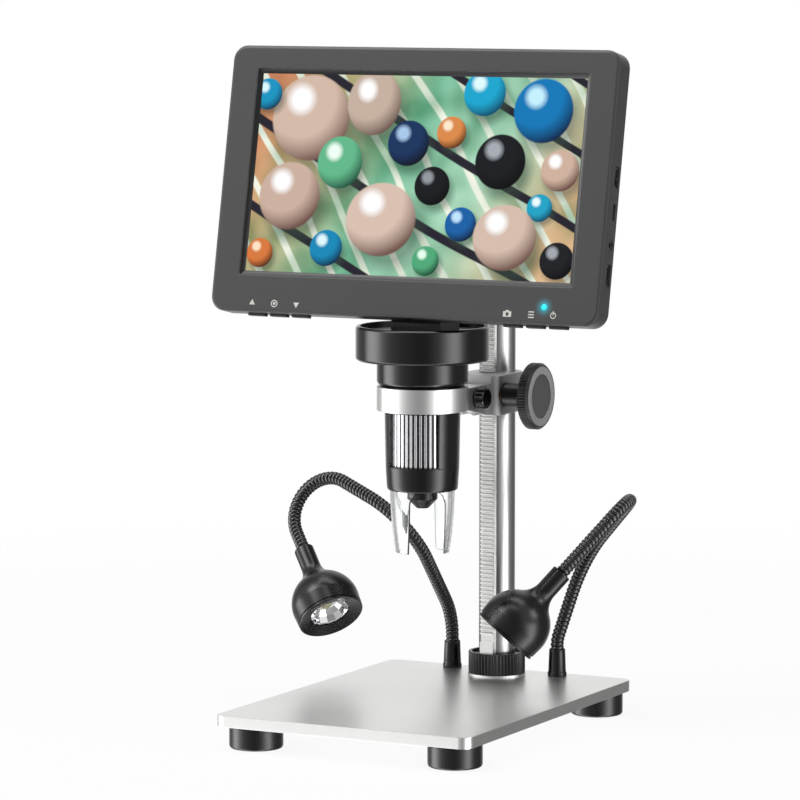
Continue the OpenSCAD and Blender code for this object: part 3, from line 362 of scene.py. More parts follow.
# "drift", "grain", "wave" and "relief" are in millimetres; a grain of 0.3 to 0.6 is several times its real
# size, so that it shows
finishes.update({
    # pale and even: broad soft highlights, and no line in the surface
    "satin_aluminium": bareMetal("bead blasted aluminium", {
        "colour": "#e4e4e2", "shade": "#dcdcdb", "drift": 60, "grain": 0.5, "rough": 0.32, "spread": 0.02,
        "strength": 0.04, "relief": 0.005}),
    # light runs round the turned faces in soft bands
    "silver_aluminium": bareMetal("turned and satin anodised aluminium", {
        "colour": "#d2d2d1", "shade": "#cacac9", "drift": 20, "grain": 0.4, "rough": 0.36, "spread": 0.02,
        "strength": 0.02, "relief": 0.005, "stretch": (0.15, 0.15, 1)}),
    # nearly matt mid grey: form shows as slow changes of tone
    "grey_anodised": bareMetal("blasted and grey anodised aluminium", {
        "colour": "#b4b4b5", "shade": "#acacad", "drift": 25, "grain": 0.4, "rough": 0.52, "spread": 0.03,
        "strength": 0.05, "relief": 0.01}),
    # dyed oxide hides the metal: black, with one soft-edged band of light down each round
    "black_anodised": mouldedOrCoated("black anodised aluminium", {
        "colour": "#070708", "shade": "#050506", "drift": 25, "grain": 0.4, "rough": 0.24, "strength": 0.05,
        "relief": 0.01, "gloss": 0.42}),
    # bright teeth, a little streaked the way the cutter went
    "rack_steel": bareMetal("milled rack steel", {
        "colour": "#e2e2e1", "shade": "#d8d8d6", "drift": 12, "grain": 0.35, "rough": 0.34, "spread": 0.02,
        "strength": 0.02, "relief": 0.005, "stretch": (0.1, 1, 1)}),
    # cold, blue-white and slightly patchy, as small plated hardware is
    "zinc_steel": bareMetal("zinc plated steel", {
        "colour": "#c9ccd0", "shade": "#b9bcc0", "drift": 8, "grain": 0.4, "rough": 0.28, "spread": 0.06,
        "strength": 0.15, "relief": 0.02}),
    # brown-yellow, dull, with turning marks round it
    "brass": bareMetal("turned brass gone dull with grease", {
        "colour": "#8a7650", "shade": "#5c4f38", "drift": 8, "grain": 0.35, "rough": 0.4, "spread": 0.06,
        "strength": 0.1, "relief": 0.02, "stretch": (1, 0.1, 0.1)}),
    # deep black with a clear but soft light along its edges
    "black_rubber": mouldedOrCoated("moulded black rubber", {
        "colour": "#0a0a0b", "shade": "#080808", "drift": 18, "grain": 0.6, "rough": 0.3, "strength": 0.08,
        "relief": 0.015, "gloss": 0.5}),
    # a shade lighter than the rubber, its highlights wider
    "black_plastic": mouldedOrCoated("satin black ABS", {
        "colour": "#111112", "shade": "#0e0e0f", "drift": 30, "grain": 0.45, "rough": 0.36, "strength": 0.1,
        "relief": 0.015, "gloss": 0.5}),
    # flat dark grey with a faint tooth
    "dark_grey_plastic": mouldedOrCoated("dark grey ABS", {
        "colour": "#555556", "shade": "#505051", "drift": 30, "grain": 0.45, "rough": 0.42, "strength": 0.15,
        "relief": 0.02}),
    # charcoal whose fine tooth spreads its light wide
    "bezel_grey": mouldedOrCoated("fine etched dark grey ABS", {
        "colour": "#474748", "shade": "#444445", "drift": 60, "grain": 0.4, "rough": 0.38, "strength": 0.12,
        "relief": 0.02, "gloss": 0.4}),
    # smooth and dark, with narrow lights
    "gloss_black": mouldedOrCoated("semi-gloss black polycarbonate", {
        "colour": "#070708", "shade": "#050506", "drift": 30, "grain": 0.6, "rough": 0.2, "strength": 0.02,
        "relief": 0.005, "gloss": 0.42}),
    # chalky warm white, also the printed marks
    "white_board": mouldedOrCoated("white solder mask", {
        "colour": "#e9e9e2", "shade": "#e0e0d8", "drift": 10, "grain": 0.5, "rough": 0.35, "strength": 0.05,
        "relief": 0.01}),
    # wet-looking green, a net of lighter lines under it
    "green_board": circuitBoard("green solder mask", {
        "mask": ("#0f4a2c", "#125534"), "trackColour": "#2c7a4e", "cellsPerMetre": 220, "track": 0.05,
        "rough": 0.3}),
    # a ring of fine bright lines, with painted shade in the grooves between them
    "grey_wheel": knurledChrome("chrome plated knurling", {
        "axis": (wheelAxis[0], wheelAxis[1], 0), "groove": 13.45, "crest": 14.15, "rough": (0.4, 0.2),
        "stops": [(0.0, "#48484a"), (0.45, "#a2a2a4"), (0.8, "#d4d4d6")]}),
    # clear as water, its edges drawn in grey by what they bend
    "clear_acrylic": clearMaterial("moulded clear acrylic", {
        "colour": "#ffffff", "shade": "#f6fafb", "wave": 9, "strength": 0.12, "relief": 0.05, "rough": 0.02,
        "ior": 1.49}),
    # clear with the blue cast of a coating
    "lens_glass": clearMaterial("coated lens glass", {
        "colour": "#e8ecff", "shade": "#dfe4f6", "wave": 12, "strength": 0.12, "relief": 0.005, "rough": 0.01,
        "ior": 1.6}),
    # silver pouch whose creases scatter the light
    "battery_foil": bareMetal("crimped battery foil", {
        "colour": "#c4c8cc", "shade": "#b0b4b8", "drift": 12, "grain": 1.2, "rough": 0.36, "spread": 0.08,
        "strength": 0.4, "relief": 0.08}),
    # a small cyan point, brightest at its middle
    "cyan_light": glowingLens("cyan epoxy lens", {
        "spot": screenPoint(powerLight["spot"]), "turn": (screenLean, 0, 0), "size": powerLight["lens"],
        "stops": [(0.0, "#0a9fb4"), (0.5, "#14bccb"), (1.0, "#3fe6ef")], "strength": 0.8, "rough": 0.2}),
    # dark grey with the orange peel of baked powder
    "black_painted": mouldedOrCoated("black powder coat on steel", {
        "colour": "#1a1a1b", "shade": "#161617", "drift": 20, "grain": 0.6, "rough": 0.42, "strength": 0.3,
        "relief": 0.04}),
    # each turn of wire carries its own short glint
    "gooseneck_black": mouldedOrCoated("black lacquered spring wire", {
        "colour": "#070708", "shade": "#050506", "drift": 15, "grain": 0.5, "rough": 0.24, "strength": 0.03,
        "relief": 0.005, "gloss": 0.7}),
    # black with a slow, rounded sheen over the dome
    "lamp_black": mouldedOrCoated("satin black lacquer on aluminium", {
        "colour": "#070708", "shade": "#050506", "drift": 20, "grain": 0.4, "rough": 0.28, "strength": 0.04,
        "relief": 0.01, "gloss": 0.42}),
    # a mirror whose slow waves break up what it shows
    "reflector_chrome": bareMetal("vacuum metallised reflector", {
        "colour": "#e6e6e8", "shade": "#dcdcde", "drift": 6, "grain": 2.6, "rough": 0.06, "spread": 0.02,
        "strength": 0.4, "relief": 0.2}),
    # milky cream with a yellow cast where the phosphor is
    "led_lens": mouldedOrCoated("frosted phosphor lens", {
        "colour": "#cfccbb", "shade": "#bdb88f", "drift": 2, "grain": 0.5, "rough": 0.25, "strength": 0.05,
        "relief": 0.01}),
    # nearly black and very smooth
    "display_glass": mouldedOrCoated("black display glass", {
        "colour": "#0b0c0e", "shade": "#090a0b", "drift": 60, "grain": 2, "rough": 0.08, "strength": 0.02,
        "relief": 0.005}),
})
# the column is drawn along its length, so its highlight is narrow and straight
drawnTube = bareMetal("drawn and anodised tube", {
    "colour": "#a9a9a9", "shade": "#a0a0a0", "drift": 30, "grain": 0.4, "rough": 0.3, "spread": 0.02,
    "strength": 0.02, "relief": 0.005, "stretch": (1, 1, 0.1)})


def spillLight(material, look):
    # the glow that the power light's lens spills on the plastic round it
    tree = material.node_tree
    place = addNode(tree, "ShaderNodeTexCoord").outputs["Object"]
    spot = addNode(tree, "ShaderNodeMapping", {
        "Vector": place, "Location": screenPoint(look["spot"]), "Scale": (look["halo"] / 1000,) * 3},
        vector_type="TEXTURE")
    halo = addNode(tree, "ShaderNodeTexGradient", {"Vector": spot.outputs["Vector"]},
                   gradient_type="QUADRATIC_SPHERE")
    spill = addNode(tree, "ShaderNodeValToRGB", {"Fac": halo.outputs["Fac"]}, stops=look["spill"])
    shader = tree.nodes["Principled BSDF"]
    tree.links.new(spill.outputs["Color"], shader.inputs["Emission Color"])
    shader.inputs["Emission Strength"].default_value = 1


spillLight(finishes["bezel_grey"], powerLight)
for node, piece in frame["nodes"].items():
    for holder in piece.material_slots:
        holder.material = finishes[slotOf[node]]
    if not piece.material_slots:
        piece.data.materials.append(finishes[slotOf[node]])
print("finishes made,", len(finishes))


past = 2  # how far a cutter reaches past what it cuts
bezel = {"width": 184, "above": 55, "below": 60.9, "face": -2, "back": 8.2, "corner": 6.5, "edge": 1.6,
         "wall": 2, "picture": (154.2, 85.9), "margin": 1.9, "windowCorner": 0.8, "windowEdge": 0.5}
# sockets: z of the middle, height, thickness; "reach" is how far their cutters go in
ports = {"sockets": [(2.4, 8.3, 2.8), (-12.2, 6, 1.6), (-38.8, 8.5, 3)], "gap": 0.4, "depth": 4.8,
         "jack": -26, "jackWidth": 3.8, "jackGap": 0.3, "reach": 8}
keys = {"left": -60.6, "right": 61.4, "pitch": 10.6, "width": 8.2, "thick": 3.2, "depth": 4, "gap": 0.4}
keyPlaces = [keys[side] + i * keys["pitch"] for side in ("left", "right") for i in (-1, 0, 1)]


def newPanelCut(low, high, corner):
    # a block whose four edges along Y are rounded
    cutter = newBlock("cutter", low, high)
    editPart(cutter, "EDGE", lambda e: abs(e.verts[0].co.y - e.verts[1].co.y) > 0.5)
    bpy.ops.mesh.bevel(offset=corner, segments=6)
    editDone()
    return cutter


def portCuts(look, side):
    # slots and a round hole through the wall at x = side
    cuts = []
    inside, outside = side - look["reach"], side + past
    for z, long, thick in look["sockets"]:
        up, deep = long / 2 + look["gap"], thick / 2 + look["gap"]
        cuts.append(newBlock("cutter", (inside, look["depth"] - deep, z - up),
                             (outside, look["depth"] + deep, z + up)))
    depth, jack = look["depth"], look["jack"]
    cuts.append(newRod("cutter", look["jackWidth"] / 2 + look["jackGap"], (inside, depth, jack),
                       (outside, depth, jack), (0, math.pi / 2, 0)))
    return cuts


def keyCuts(look, low):
    # six slots through the lower wall
    across, deep = look["width"] / 2 + look["gap"], look["thick"] / 2 + look["gap"]
    return [newBlock("cutter", (x - across, look["depth"] - deep, low - past),
                     (x + across, look["depth"] + deep, low + bezel["wall"] + past)) for x in keyPlaces]


def makeBezel(look):
    half, low, high = look["width"] / 2, -look["below"], look["above"]
    face, inner = look["face"], look["face"] + look["wall"]
    shell = newBlock("bezel_frame", (-half, face, low), (half, look["back"], high))
    editPart(shell, "EDGE", lambda e: abs(e.verts[0].co.y - e.verts[1].co.y) > 1)
    bpy.ops.mesh.bevel(offset=look["corner"], segments=10)
    editPart(shell, "EDGE", lambda e: all(v.co.y < face + 0.01 for v in e.verts))
    bpy.ops.mesh.bevel(offset=look["edge"], segments=4, profile=0.6)
    editPart(shell, "FACE", lambda f: f.normal.y > 0.9)
    bpy.ops.mesh.inset(thickness=look["wall"])
    bpy.ops.mesh.extrude_region_move(TRANSFORM_OT_translate={"value": (0, inner - look["back"], 0)})
    editDone()
    wide, tall = (side / 2 + look["margin"] for side in look["picture"])
    cuts = [newPanelCut((-wide, face - past, -tall), (wide, inner + past, tall), look["windowCorner"])]
    cuts += portCuts(ports, half) + keyCuts(keys, low)
    x, _, z = powerLight["spot"]
    cuts.append(newRod("cutter", powerLight["bore"], (x, face - past, z), (x, inner + past, z),
                       (math.pi / 2, 0, 0)))
    cutAway(shell, joined("cutter", cuts))
    # the moulded rim of the window: edges on the face, inside the window's outline, where the wall turns
    editPart(shell, "EDGE", lambda e: all(v.co.y < face + 0.01 and abs(v.co.x) < wide + 0.01
                                          and abs(v.co.z) < tall + 0.01 for v in e.verts)
             and len(e.link_faces) == 2
             and abs(e.link_faces[0].normal.y - e.link_faces[1].normal.y) > 0.5)
    bpy.ops.mesh.bevel(offset=look["windowEdge"], segments=3)
    editDone()
    smoothShaded(applyPlace(shell, screenPlace))
    return handIn(shell, "screen", "bezel_grey", ["front_bezel"])


surround = {"gap": 0.05, "front": -1.25, "back": -0.02, "slopeDepth": 1.1, "flatRim": 0.1}


def makeSurround(look):
    # black band that slopes from the bezel down to the picture
    wide, tall = (side / 2 + bezel["margin"] - look["gap"] for side in bezel["picture"])
    band = newBlock("picture_surround", (-wide, look["front"], -tall), (wide, look["back"], tall))
    editPart(band, "FACE", lambda f: f.normal.y < -0.9)
    bpy.ops.mesh.inset(thickness=bezel["margin"] - look["flatRim"], depth=-look["slopeDepth"])
    editDone()
    wide, tall = (side / 2 for side in bezel["picture"])
    cutAway(band, newBlock("cutter", (-wide, look["front"] - past, -tall), (wide, look["back"] + past, tall)))
    smoothShaded(applyPlace(band, screenPlace))
    return handIn(band, "screen", "display_glass", material=finishes["black_plastic"])


cover = {"gap": 0.4, "corner": 6.1, "rim": 1, "slope": 5.6, "soft": 1.4, "back": 13.5, "wall": 2,
         "pocket": 8.6, "pocketCorner": 1.5, "screwHole": 1.3, "screwX": (-79, 79), "screwZ": (-47.9, 42)}


def makeCover(look):
    half = bezel["width"] / 2 - look["gap"]
    low, high = look["gap"] - bezel["below"], bezel["above"] - look["gap"]
    front, back = bezel["back"], look["back"]
    shell = newBlock("rear_shell", (-half, front, low), (half, front + look["rim"], high))
    editPart(shell, "EDGE", lambda e: abs(e.verts[0].co.y - e.verts[1].co.y) > 0.5)
    bpy.ops.mesh.bevel(offset=look["corner"], segments=8)
    editPart(shell, "FACE", lambda f: f.normal.y > 0.9)
    bpy.ops.mesh.extrude_region_move(TRANSFORM_OT_translate={"value": (0, back - front - look["rim"], 0)})
    bpy.ops.transform.resize(value=(1 - look["slope"] / half, 1, 1 - 2 * look["slope"] / (high - low)))
    editPart(shell, "EDGE", lambda e: all(v.co.y > back - 0.01 for v in e.verts))
    bpy.ops.mesh.bevel(offset=look["soft"], segments=4)
    editDone()
    inset = look["pocket"]
    cutAway(shell, newPanelCut((inset - half, front - past, low + inset),
                               (half - inset, back - look["wall"], high - inset), look["pocketCorner"]))
    holes = [newRod("cutter", look["screwHole"], (x, front - past, z), (x, back + past, z),
                    (math.pi / 2, 0, 0)) for x in look["screwX"] for z in look["screwZ"]]
    cutAway(shell, joined("cutter", holes))
    smoothShaded(applyPlace(shell, screenPlace))
    return handIn(shell, "screen", "black_plastic", ["rear_cover"])


markLook = {"height": -57, "size": 1.6, "proud": 0.05, "film": 0.001,
            "ringLine": 0.4, "dot": 0.4,  # the dot as a share of the size
            "camera": {"half": 1.9, "below": 1.3, "above": 1.0, "lens": 0.75, "lensDrop": 0.15,
                       "hump": 0.8, "humpTop": 1.5},
            "bars": {"half": 1.3, "thick": 0.5, "rows": (-1.4, -0.25, 0.9)},
            "power": {"ring": 0.85, "line": 0.38, "half": 0.2, "low": 0.1, "high": 1.9},
            "row": [("up", -71.3), ("ring", -60.5), ("down", -49.8), ("shutter", 50.4), ("bars", 61.5),
                    ("power", 71.6)]}


def newDisc(x, z, radius, sides, turn=0):
    bpy.ops.object.select_all(action="DESELECT")
    face = bezel["face"]
    bpy.ops.mesh.primitive_circle_add(vertices=sides, radius=radius, fill_type="NGON", location=(x, face, z),
                                      rotation=(math.pi / 2, 0, 0))
    disc = bpy.context.object
    disc.name = disc.data.name = "mark"
    bpy.ops.object.transform_apply(location=True, rotation=True, scale=True)
    if turn:
        editPart(disc, "FACE", lambda f: True)
        bpy.ops.transform.rotate(value=turn, orient_axis="Y", center_override=(x, face, z))
        editDone()
    return disc


def newRing(x, z, radius, line):
    ring = newDisc(x, z, radius, 24)
    editPart(ring, "FACE", lambda f: True)
    bpy.ops.mesh.inset(thickness=line)
    bpy.ops.mesh.delete(type="FACE")
    editDone()
    return ring


def newPatch(left, low, right, high):
    # a film of print on the bezel's face
    return newBlock("mark", (left, bezel["face"] - markLook["film"], low), (right, bezel["face"], high))


def newSymbol(kind, x, look):
    z, size, face = look["height"], look["size"], bezel["face"]
    if kind in ("up", "down"):
        return [newDisc(x, z, size, 3, math.pi if kind == "down" else 0)]
    if kind == "ring":
        return [newRing(x, z, size, look["ringLine"]), newDisc(x, z, size * look["dot"], 12)]
    if kind == "shutter":
        case = look["camera"]
        body = newPatch(x - case["half"], z - case["below"], x + case["half"], z + case["above"])
        middle = z - case["lensDrop"]
        cutAway(body, newRod("cutter", case["lens"], (x, face - past, middle), (x, face + past, middle),
                             (math.pi / 2, 0, 0)))
        return [body, newPatch(x - case["hump"], z + case["above"], x + case["hump"], z + case["humpTop"])]
    if kind == "bars":
        bar = look["bars"]
        return [newPatch(x - bar["half"], z + row, x + bar["half"], z + row + bar["thick"])
                for row in bar["rows"]]
    sign = look["power"]
    return [newRing(x, z, size * sign["ring"], sign["line"]),
            newPatch(x - sign["half"], z + sign["low"], x + sign["half"], z + sign["high"])]


def makeMarks(look):
    # plain printed symbols over the keys
    marks = [part for kind, x in look["row"] for part in newSymbol(kind, x, look)]
    symbols = joined("key_marks", marks)
    editPart(symbols, "FACE", lambda f: True)
    bpy.ops.mesh.extrude_region_move(TRANSFORM_OT_translate={"value": (0, -look["proud"], 0)})
    bpy.ops.mesh.select_all(action="SELECT")
    bpy.ops.mesh.normals_make_consistent(inside=False)
    editDone()
    applyPlace(symbols, screenPlace)
    return handIn(symbols, "screen", "white_board")


# the picture: glass beads and crystals on a leaf, in millimetres on the screen
leaf = {
    "glass": {"colour": "#050506", "rough": 0.12, "gloss": 0.1, "light": 1},
    "sweep": {"from": (-80, 0, 20), "turn": 0.5, "reach": 150,
              "stops": [(0.0, "#d98a63"), (0.2, "#cdb98a"), (0.45, "#7fc3a0"), (0.72, "#b4e0c4"),
                        (1.0, "#e0b98e")]},
    "veins": {"turn": 0.62, "rate": 0.021, "wander": 3.5, "detail": 1.5, "detailRate": 0.6, "axis": "X",
              "stops": [(0.86, 0.0), (0.95, 1.0)], "colour": "#f3f6e6"},
    "mottle": {"rate": 0.05, "part": 0.65, "stops": [(0.35, "#6aa78b"), (0.62, "#ffffff")]},
    "hairs": {"turn": -0.5, "rate": 0.011, "wander": 5, "detail": 1, "detailRate": 0.4, "axis": "Z",
              "stops": [(0.955, 0.0), (0.975, 1.0)], "colour": "#23202c"},
}
# shifts and reaches are shares of a bead's radius
beadLight = {"shadow": {"shift": (0.22, -0.3), "reach": 1.2, "stops": [(0.0, 0.0), (0.35, 0.55)],
                        "colour": "#33463c"},
             "edge": [(0.0, 0.0), (0.05, 1.0)],
             "glow": {"shift": (-0.28, 0.42), "reach": 1.5, "stops": (0.05, 0.42, 0.72, 0.86)}}
# bead: x, z, radius, upright stretch, dark side, body, top light
beads = [
    (-52, 24, 19, 1.0, "#75564f", "#d3b9a8", "#ffffff"), (-22, 31, 13, 1.1, "#6b564e", "#c6b0a0", "#ffffff"),
    (58, 29, 14, 1.0, "#03284f", "#0a78b8", "#c4f0ff"), (30, 36, 10, 1.0, "#04506e", "#16a6cf", "#e0fbff"),
    (-4, 14, 10, 1.0, "#060d20", "#15335f", "#a8c8ea"), (16, 19, 7, 1.0, "#5f3213", "#dc8a4a", "#ffe9cc"),
    (-36, 5, 11, 1.05, "#1e5540", "#62b98b", "#effff4"), (68, 4, 9, 1.0, "#6a4a42", "#cfb19e", "#ffffff"),
    (40, 7, 12, 1.0, "#020204", "#16181d", "#a6abb4"), (60, -12, 6, 1.0, "#064e68", "#1fa3c6", "#eafdff"),
    (9, -4, 8.5, 1.0, "#020204", "#14161a", "#9297a0"), (-59, -10, 15, 1.0, "#6d5049", "#ccb0a0", "#ffffff"),
    (-14, -19, 17, 0.95, "#73574f", "#d9c0b1", "#ffffff"),
    (24, -20, 7.5, 1.0, "#07203f", "#1560a6", "#bfe4ff"),
    (45, -25, 15, 0.95, "#755950", "#d6bdad", "#ffffff"), (-39, -32, 8, 1.0, "#03304c", "#0f88b8", "#dff8ff"),
    (-71, -35, 6.5, 1.0, "#55290f", "#d9783d", "#ffe3c4"), (70, -34, 8, 1.0, "#030305", "#1b1d22", "#a4a8b0"),
    (9, -36, 6.5, 1.0, "#174b32", "#4fa978", "#e4fdec"), (-74, 34, 7, 1.0, "#04415c", "#1294c2", "#d8f8ff"),
]


def wanderingLines(tree, flat, look):
    # thin lines that wind across the picture
    turned = addNode(tree, "ShaderNodeMapping", {"Vector": flat, "Rotation": (0, look["turn"], 0)})
    waves = addNode(tree, "ShaderNodeTexWave", {
        "Vector": turned.outputs["Vector"], "Scale": look["rate"], "Distortion": look["wander"],
        "Detail": look["detail"], "Detail Scale": look["detailRate"]}, bands_direction=look["axis"])
    line = addNode(tree, "ShaderNodeValToRGB", {"Fac": waves.outputs["Fac"]}, stops=look["stops"])
    return line.outputs["Color"]


def softDisc(tree, flat, x, z, wide, tall, stops):
    # a round fall-off on the picture; its stops run from 0 at the rim to 1 at the middle
    local = addNode(tree, "ShaderNodeMapping", {
        "Vector": flat, "Location": (x, 0, z), "Scale": (wide, 1, tall)}, vector_type="TEXTURE")
    ball = addNode(tree, "ShaderNodeTexGradient", {"Vector": local.outputs["Vector"]},
                   gradient_type="SPHERICAL")
    return addNode(tree, "ShaderNodeValToRGB", {"Fac": ball.outputs["Fac"]}, stops=stops).outputs["Color"]


def leafGround(tree, flat, look):
    # a soft leaf, green to peach, crossed by pale veins, with dark root hairs over it
    sweep = look["sweep"]
    along = addNode(tree, "ShaderNodeMapping", {
        "Vector": flat, "Location": sweep["from"], "Rotation": (0, sweep["turn"], 0),
        "Scale": (sweep["reach"], 1, 1)}, vector_type="TEXTURE")
    fade = addNode(tree, "ShaderNodeTexGradient", {"Vector": along.outputs["Vector"]})
    ground = addNode(tree, "ShaderNodeValToRGB", {"Fac": fade.outputs["Fac"]}, stops=sweep["stops"])
    veined = addNode(tree, "ShaderNodeMix", {
        0: wanderingLines(tree, flat, look["veins"]), 6: ground.outputs["Color"],
        7: linear(look["veins"]["colour"])}, data_type="RGBA")
    blur = addNode(tree, "ShaderNodeTexNoise", {"Vector": flat, "Scale": look["mottle"]["rate"], "Detail": 1})
    mottle = addNode(tree, "ShaderNodeValToRGB", {"Fac": blur.outputs["Fac"]}, stops=look["mottle"]["stops"])
    mottled = addNode(tree, "ShaderNodeMix", {
        0: look["mottle"]["part"], 6: veined.outputs[2], 7: mottle.outputs["Color"]},
        data_type="RGBA", blend_type="MULTIPLY")
    return addNode(tree, "ShaderNodeMix", {
        0: wanderingLines(tree, flat, look["hairs"]), 6: mottled.outputs[2],
        7: linear(look["hairs"]["colour"])}, data_type="RGBA").outputs[2]


def livePicture(name):
    # lit from behind: its colours hold whatever light falls on the screen
    material, tree, shader, place = newFinish(name)
    flat = addNode(tree, "ShaderNodeMapping", {
        "Vector": place, "Location": screenSpot, "Rotation": (screenLean, 0, 0), "Scale": (0.001, 1, 0.001)},
        vector_type="TEXTURE").outputs["Vector"]
    picture = leafGround(tree, flat, leaf)
    shadow, glow = beadLight["shadow"], beadLight["glow"]
    for x, z, radius, tall, dark, body, light in beads:
        # soft shadow on the ground, then the bead and its lit top
        reach = radius * shadow["reach"]
        cast = softDisc(tree, flat, x + shadow["shift"][0] * radius, z + shadow["shift"][1] * radius,
                        reach, reach * tall, shadow["stops"])
        picture = addNode(tree, "ShaderNodeMix", {0: cast, 6: picture, 7: linear(shadow["colour"])},
                          data_type="RGBA").outputs[2]
        edge = softDisc(tree, flat, x, z, radius, radius * tall, beadLight["edge"])
        reach = radius * glow["reach"]
        colour = softDisc(tree, flat, x + glow["shift"][0] * radius, z + glow["shift"][1] * radius,
                          reach, reach * tall, list(zip(glow["stops"], (dark, body, body, light))))
        picture = addNode(tree, "ShaderNodeMix", {0: edge, 6: picture, 7: colour},
                          data_type="RGBA").outputs[2]
    glass = leaf["glass"]
    shader.inputs["Base Color"].default_value = linear(glass["colour"])
    shader.inputs["Roughness"].default_value = glass["rough"]
    shader.inputs["Specular IOR Level"].default_value = glass["gloss"]
    shader.inputs["Emission Strength"].default_value = glass["light"]
    tree.links.new(picture, shader.inputs["Emission Color"])
    return material


sheet = {"over": 0.05, "front": -0.1, "back": -0.01, "edge": 0.04}


def makePicture(look):
    wide, tall = (side / 2 + look["over"] for side in bezel["picture"])
    picture = newBlock("live_picture", (-wide, look["front"], -tall), (wide, look["back"], tall))
    editPart(picture, "EDGE", lambda e: all(v.co.y < look["front"] + 0.01 for v in e.verts))
    bpy.ops.mesh.bevel(offset=look["edge"], segments=1)
    editDone()
    applyPlace(picture, screenPlace)
    return handIn(picture, "screen", "display_glass", material=livePicture("lit liquid crystal picture"))


makeBezel(bezel)
makeSurround(surround)
makeCover(cover)
makeMarks(markLook)
makePicture(sheet)
print("screen made")


# a bend: straight run, heading of the bend about the run, radius, angle; lengths in millimetres
neck = {"wire": 0.96, "wireSides": 10, "flat": 0.6, "middle": 2.42, "pitch": 1.9, "steps": 20, "core": 1.9,
        "inHead": 6,
        "left": {"start": (-26, 75.5, 20), "tail": 9.4,
                 "bends": [(8.7, -91, 26.6, 41.1), (27.8, -113.8, 27.1, 85.1), (17.8, 63.8, 16.3, 149.5)]},
        "right": {"start": (26, 75.5, 20), "tail": 28.9,
                  "bends": [(8.6, 26.1, 16.2, 17.7), (18.8, -65.5, 51, 36.8), (17.4, -41.2, 14, 141.4)]}}


def neckRoute(side):
    # points a millimetre or so apart, the hose's length, and the place where it goes into the head
    route, length = [], 0
    at = Matrix.Translation(side["start"])
    for straight, heading, radius, angle in side["bends"]:
        count = max(2, round(straight))
        route += [at @ Vector((0, 0, straight * i / count)) for i in range(count)]
        at = at @ Matrix.Translation((0, 0, straight)) @ Matrix.Rotation(math.radians(heading), 4, "Z")
        arc = radius * math.radians(angle)
        count = max(6, round(arc))
        for i in range(count):
            turn = math.radians(angle) * i / count
            route.append(at @ Vector((radius - radius * math.cos(turn), 0, radius * math.sin(turn))))
        at = at @ Matrix.Translation((radius, 0, 0)) @ Matrix.Rotation(math.radians(angle), 4, "Y")
        at = at @ Matrix.Translation((-radius, 0, 0))
        length += straight + arc
    tail = side["tail"] + neck["inHead"]
    count = round(tail)
    route += [at @ Vector((0, 0, tail * i / count)) for i in range(count + 1)]
    return route, length + tail, at @ Matrix.Translation((0, 0, side["tail"]))


def newPath(name, route):
    data = bpy.data.curves.new(name, "CURVE")
    data.dimensions = "3D"
    line = data.splines.new("POLY")
    line.points.add(len(route) - 1)
    for point, spot in zip(line.points, route):
        point.co = (*spot, 1)
    path = bpy.data.objects.new(name, data)
    bpy.context.scene.collection.objects.link(path)
    return path


def mergedAndTurnedOut(piece):
    editPart(piece, "VERT", lambda v: True)
    bpy.ops.mesh.remove_doubles(threshold=0.001)
    bpy.ops.mesh.normals_make_consistent(inside=False)
    editDone()


def makeNeck(side, route, length, look):
    path = newPath(side + "_route", route)
    # one turn of flattened wire, wound up to the hose's length and then bent along the route
    bpy.ops.object.select_all(action="DESELECT")
    bpy.ops.mesh.primitive_circle_add(vertices=look["wireSides"], radius=look["wire"],
                                      location=(look["middle"], 0, look["wire"]),
                                      rotation=(math.pi / 2, 0, 0))
    coil = bpy.context.object
    coil.scale.x = look["flat"]
    bpy.ops.object.transform_apply(location=True, rotation=True, scale=True)
    wound = length - 2 * look["wire"]
    turns = int(wound / look["pitch"])
    finishWith(coil, "SCREW", axis="Z", screw_offset=wound / turns, iterations=turns, steps=look["steps"],
               render_steps=look["steps"], use_merge_vertices=True)
    editPart(coil, "EDGE", lambda e: len(e.link_faces) == 1)
    bpy.ops.mesh.edge_face_add()
    mergedAndTurnedOut(coil)
    finishWith(coil, "CURVE", object=path, deform_axis="POS_Z")
    # inner tube that closes the gaps between the turns
    path.data.bevel_depth = look["core"]
    path.data.bevel_resolution = 4
    path.data.use_fill_caps = True
    pickOnly(path)
    bpy.ops.object.convert(target="MESH")
    mergedAndTurnedOut(path)
    hose = joined(side + "_hose", [coil, path])
    smoothShaded(applyPlace(hose, Matrix.Scale(0.001, 4)), 50)
    return handIn(hose, side + "_lamp", "gooseneck_black", [side + "_gooseneck"])


# outlines are (radius, height over the mouth); the sleeve's lip is (inward, down) from its top corner
lampShade = {"length": 37.4, "dome": 15.2, "domeUp": 7.2, "domeSteps": 14, "blend": 9, "blendSteps": 8,
             "sleeve": 4.4, "lip": [(0, 0.5), (0.2, 0.1), (0.5, 0)], "bore": 3.05, "boreDepth": 6,
             "seat": 9.1, "seatDepth": 10, "round": 72,
             "face": [(9.1, 1.9), (13.5, 0.35), (13.9, 0.05), (14.4, 0), (14.7, 0.25), (14.75, 0.95),
                      (14.35, 1.15), (14.35, 1.5), (14.85, 1.75)],
             "bowl": [(0, 8.7), (2.9, 8.6), (5.2, 7.5), (7.2, 5.4), (8.5, 2.8), (8.95, 2.5), (8.95, 9.9),
                      (0, 9.9)], "facets": 14}


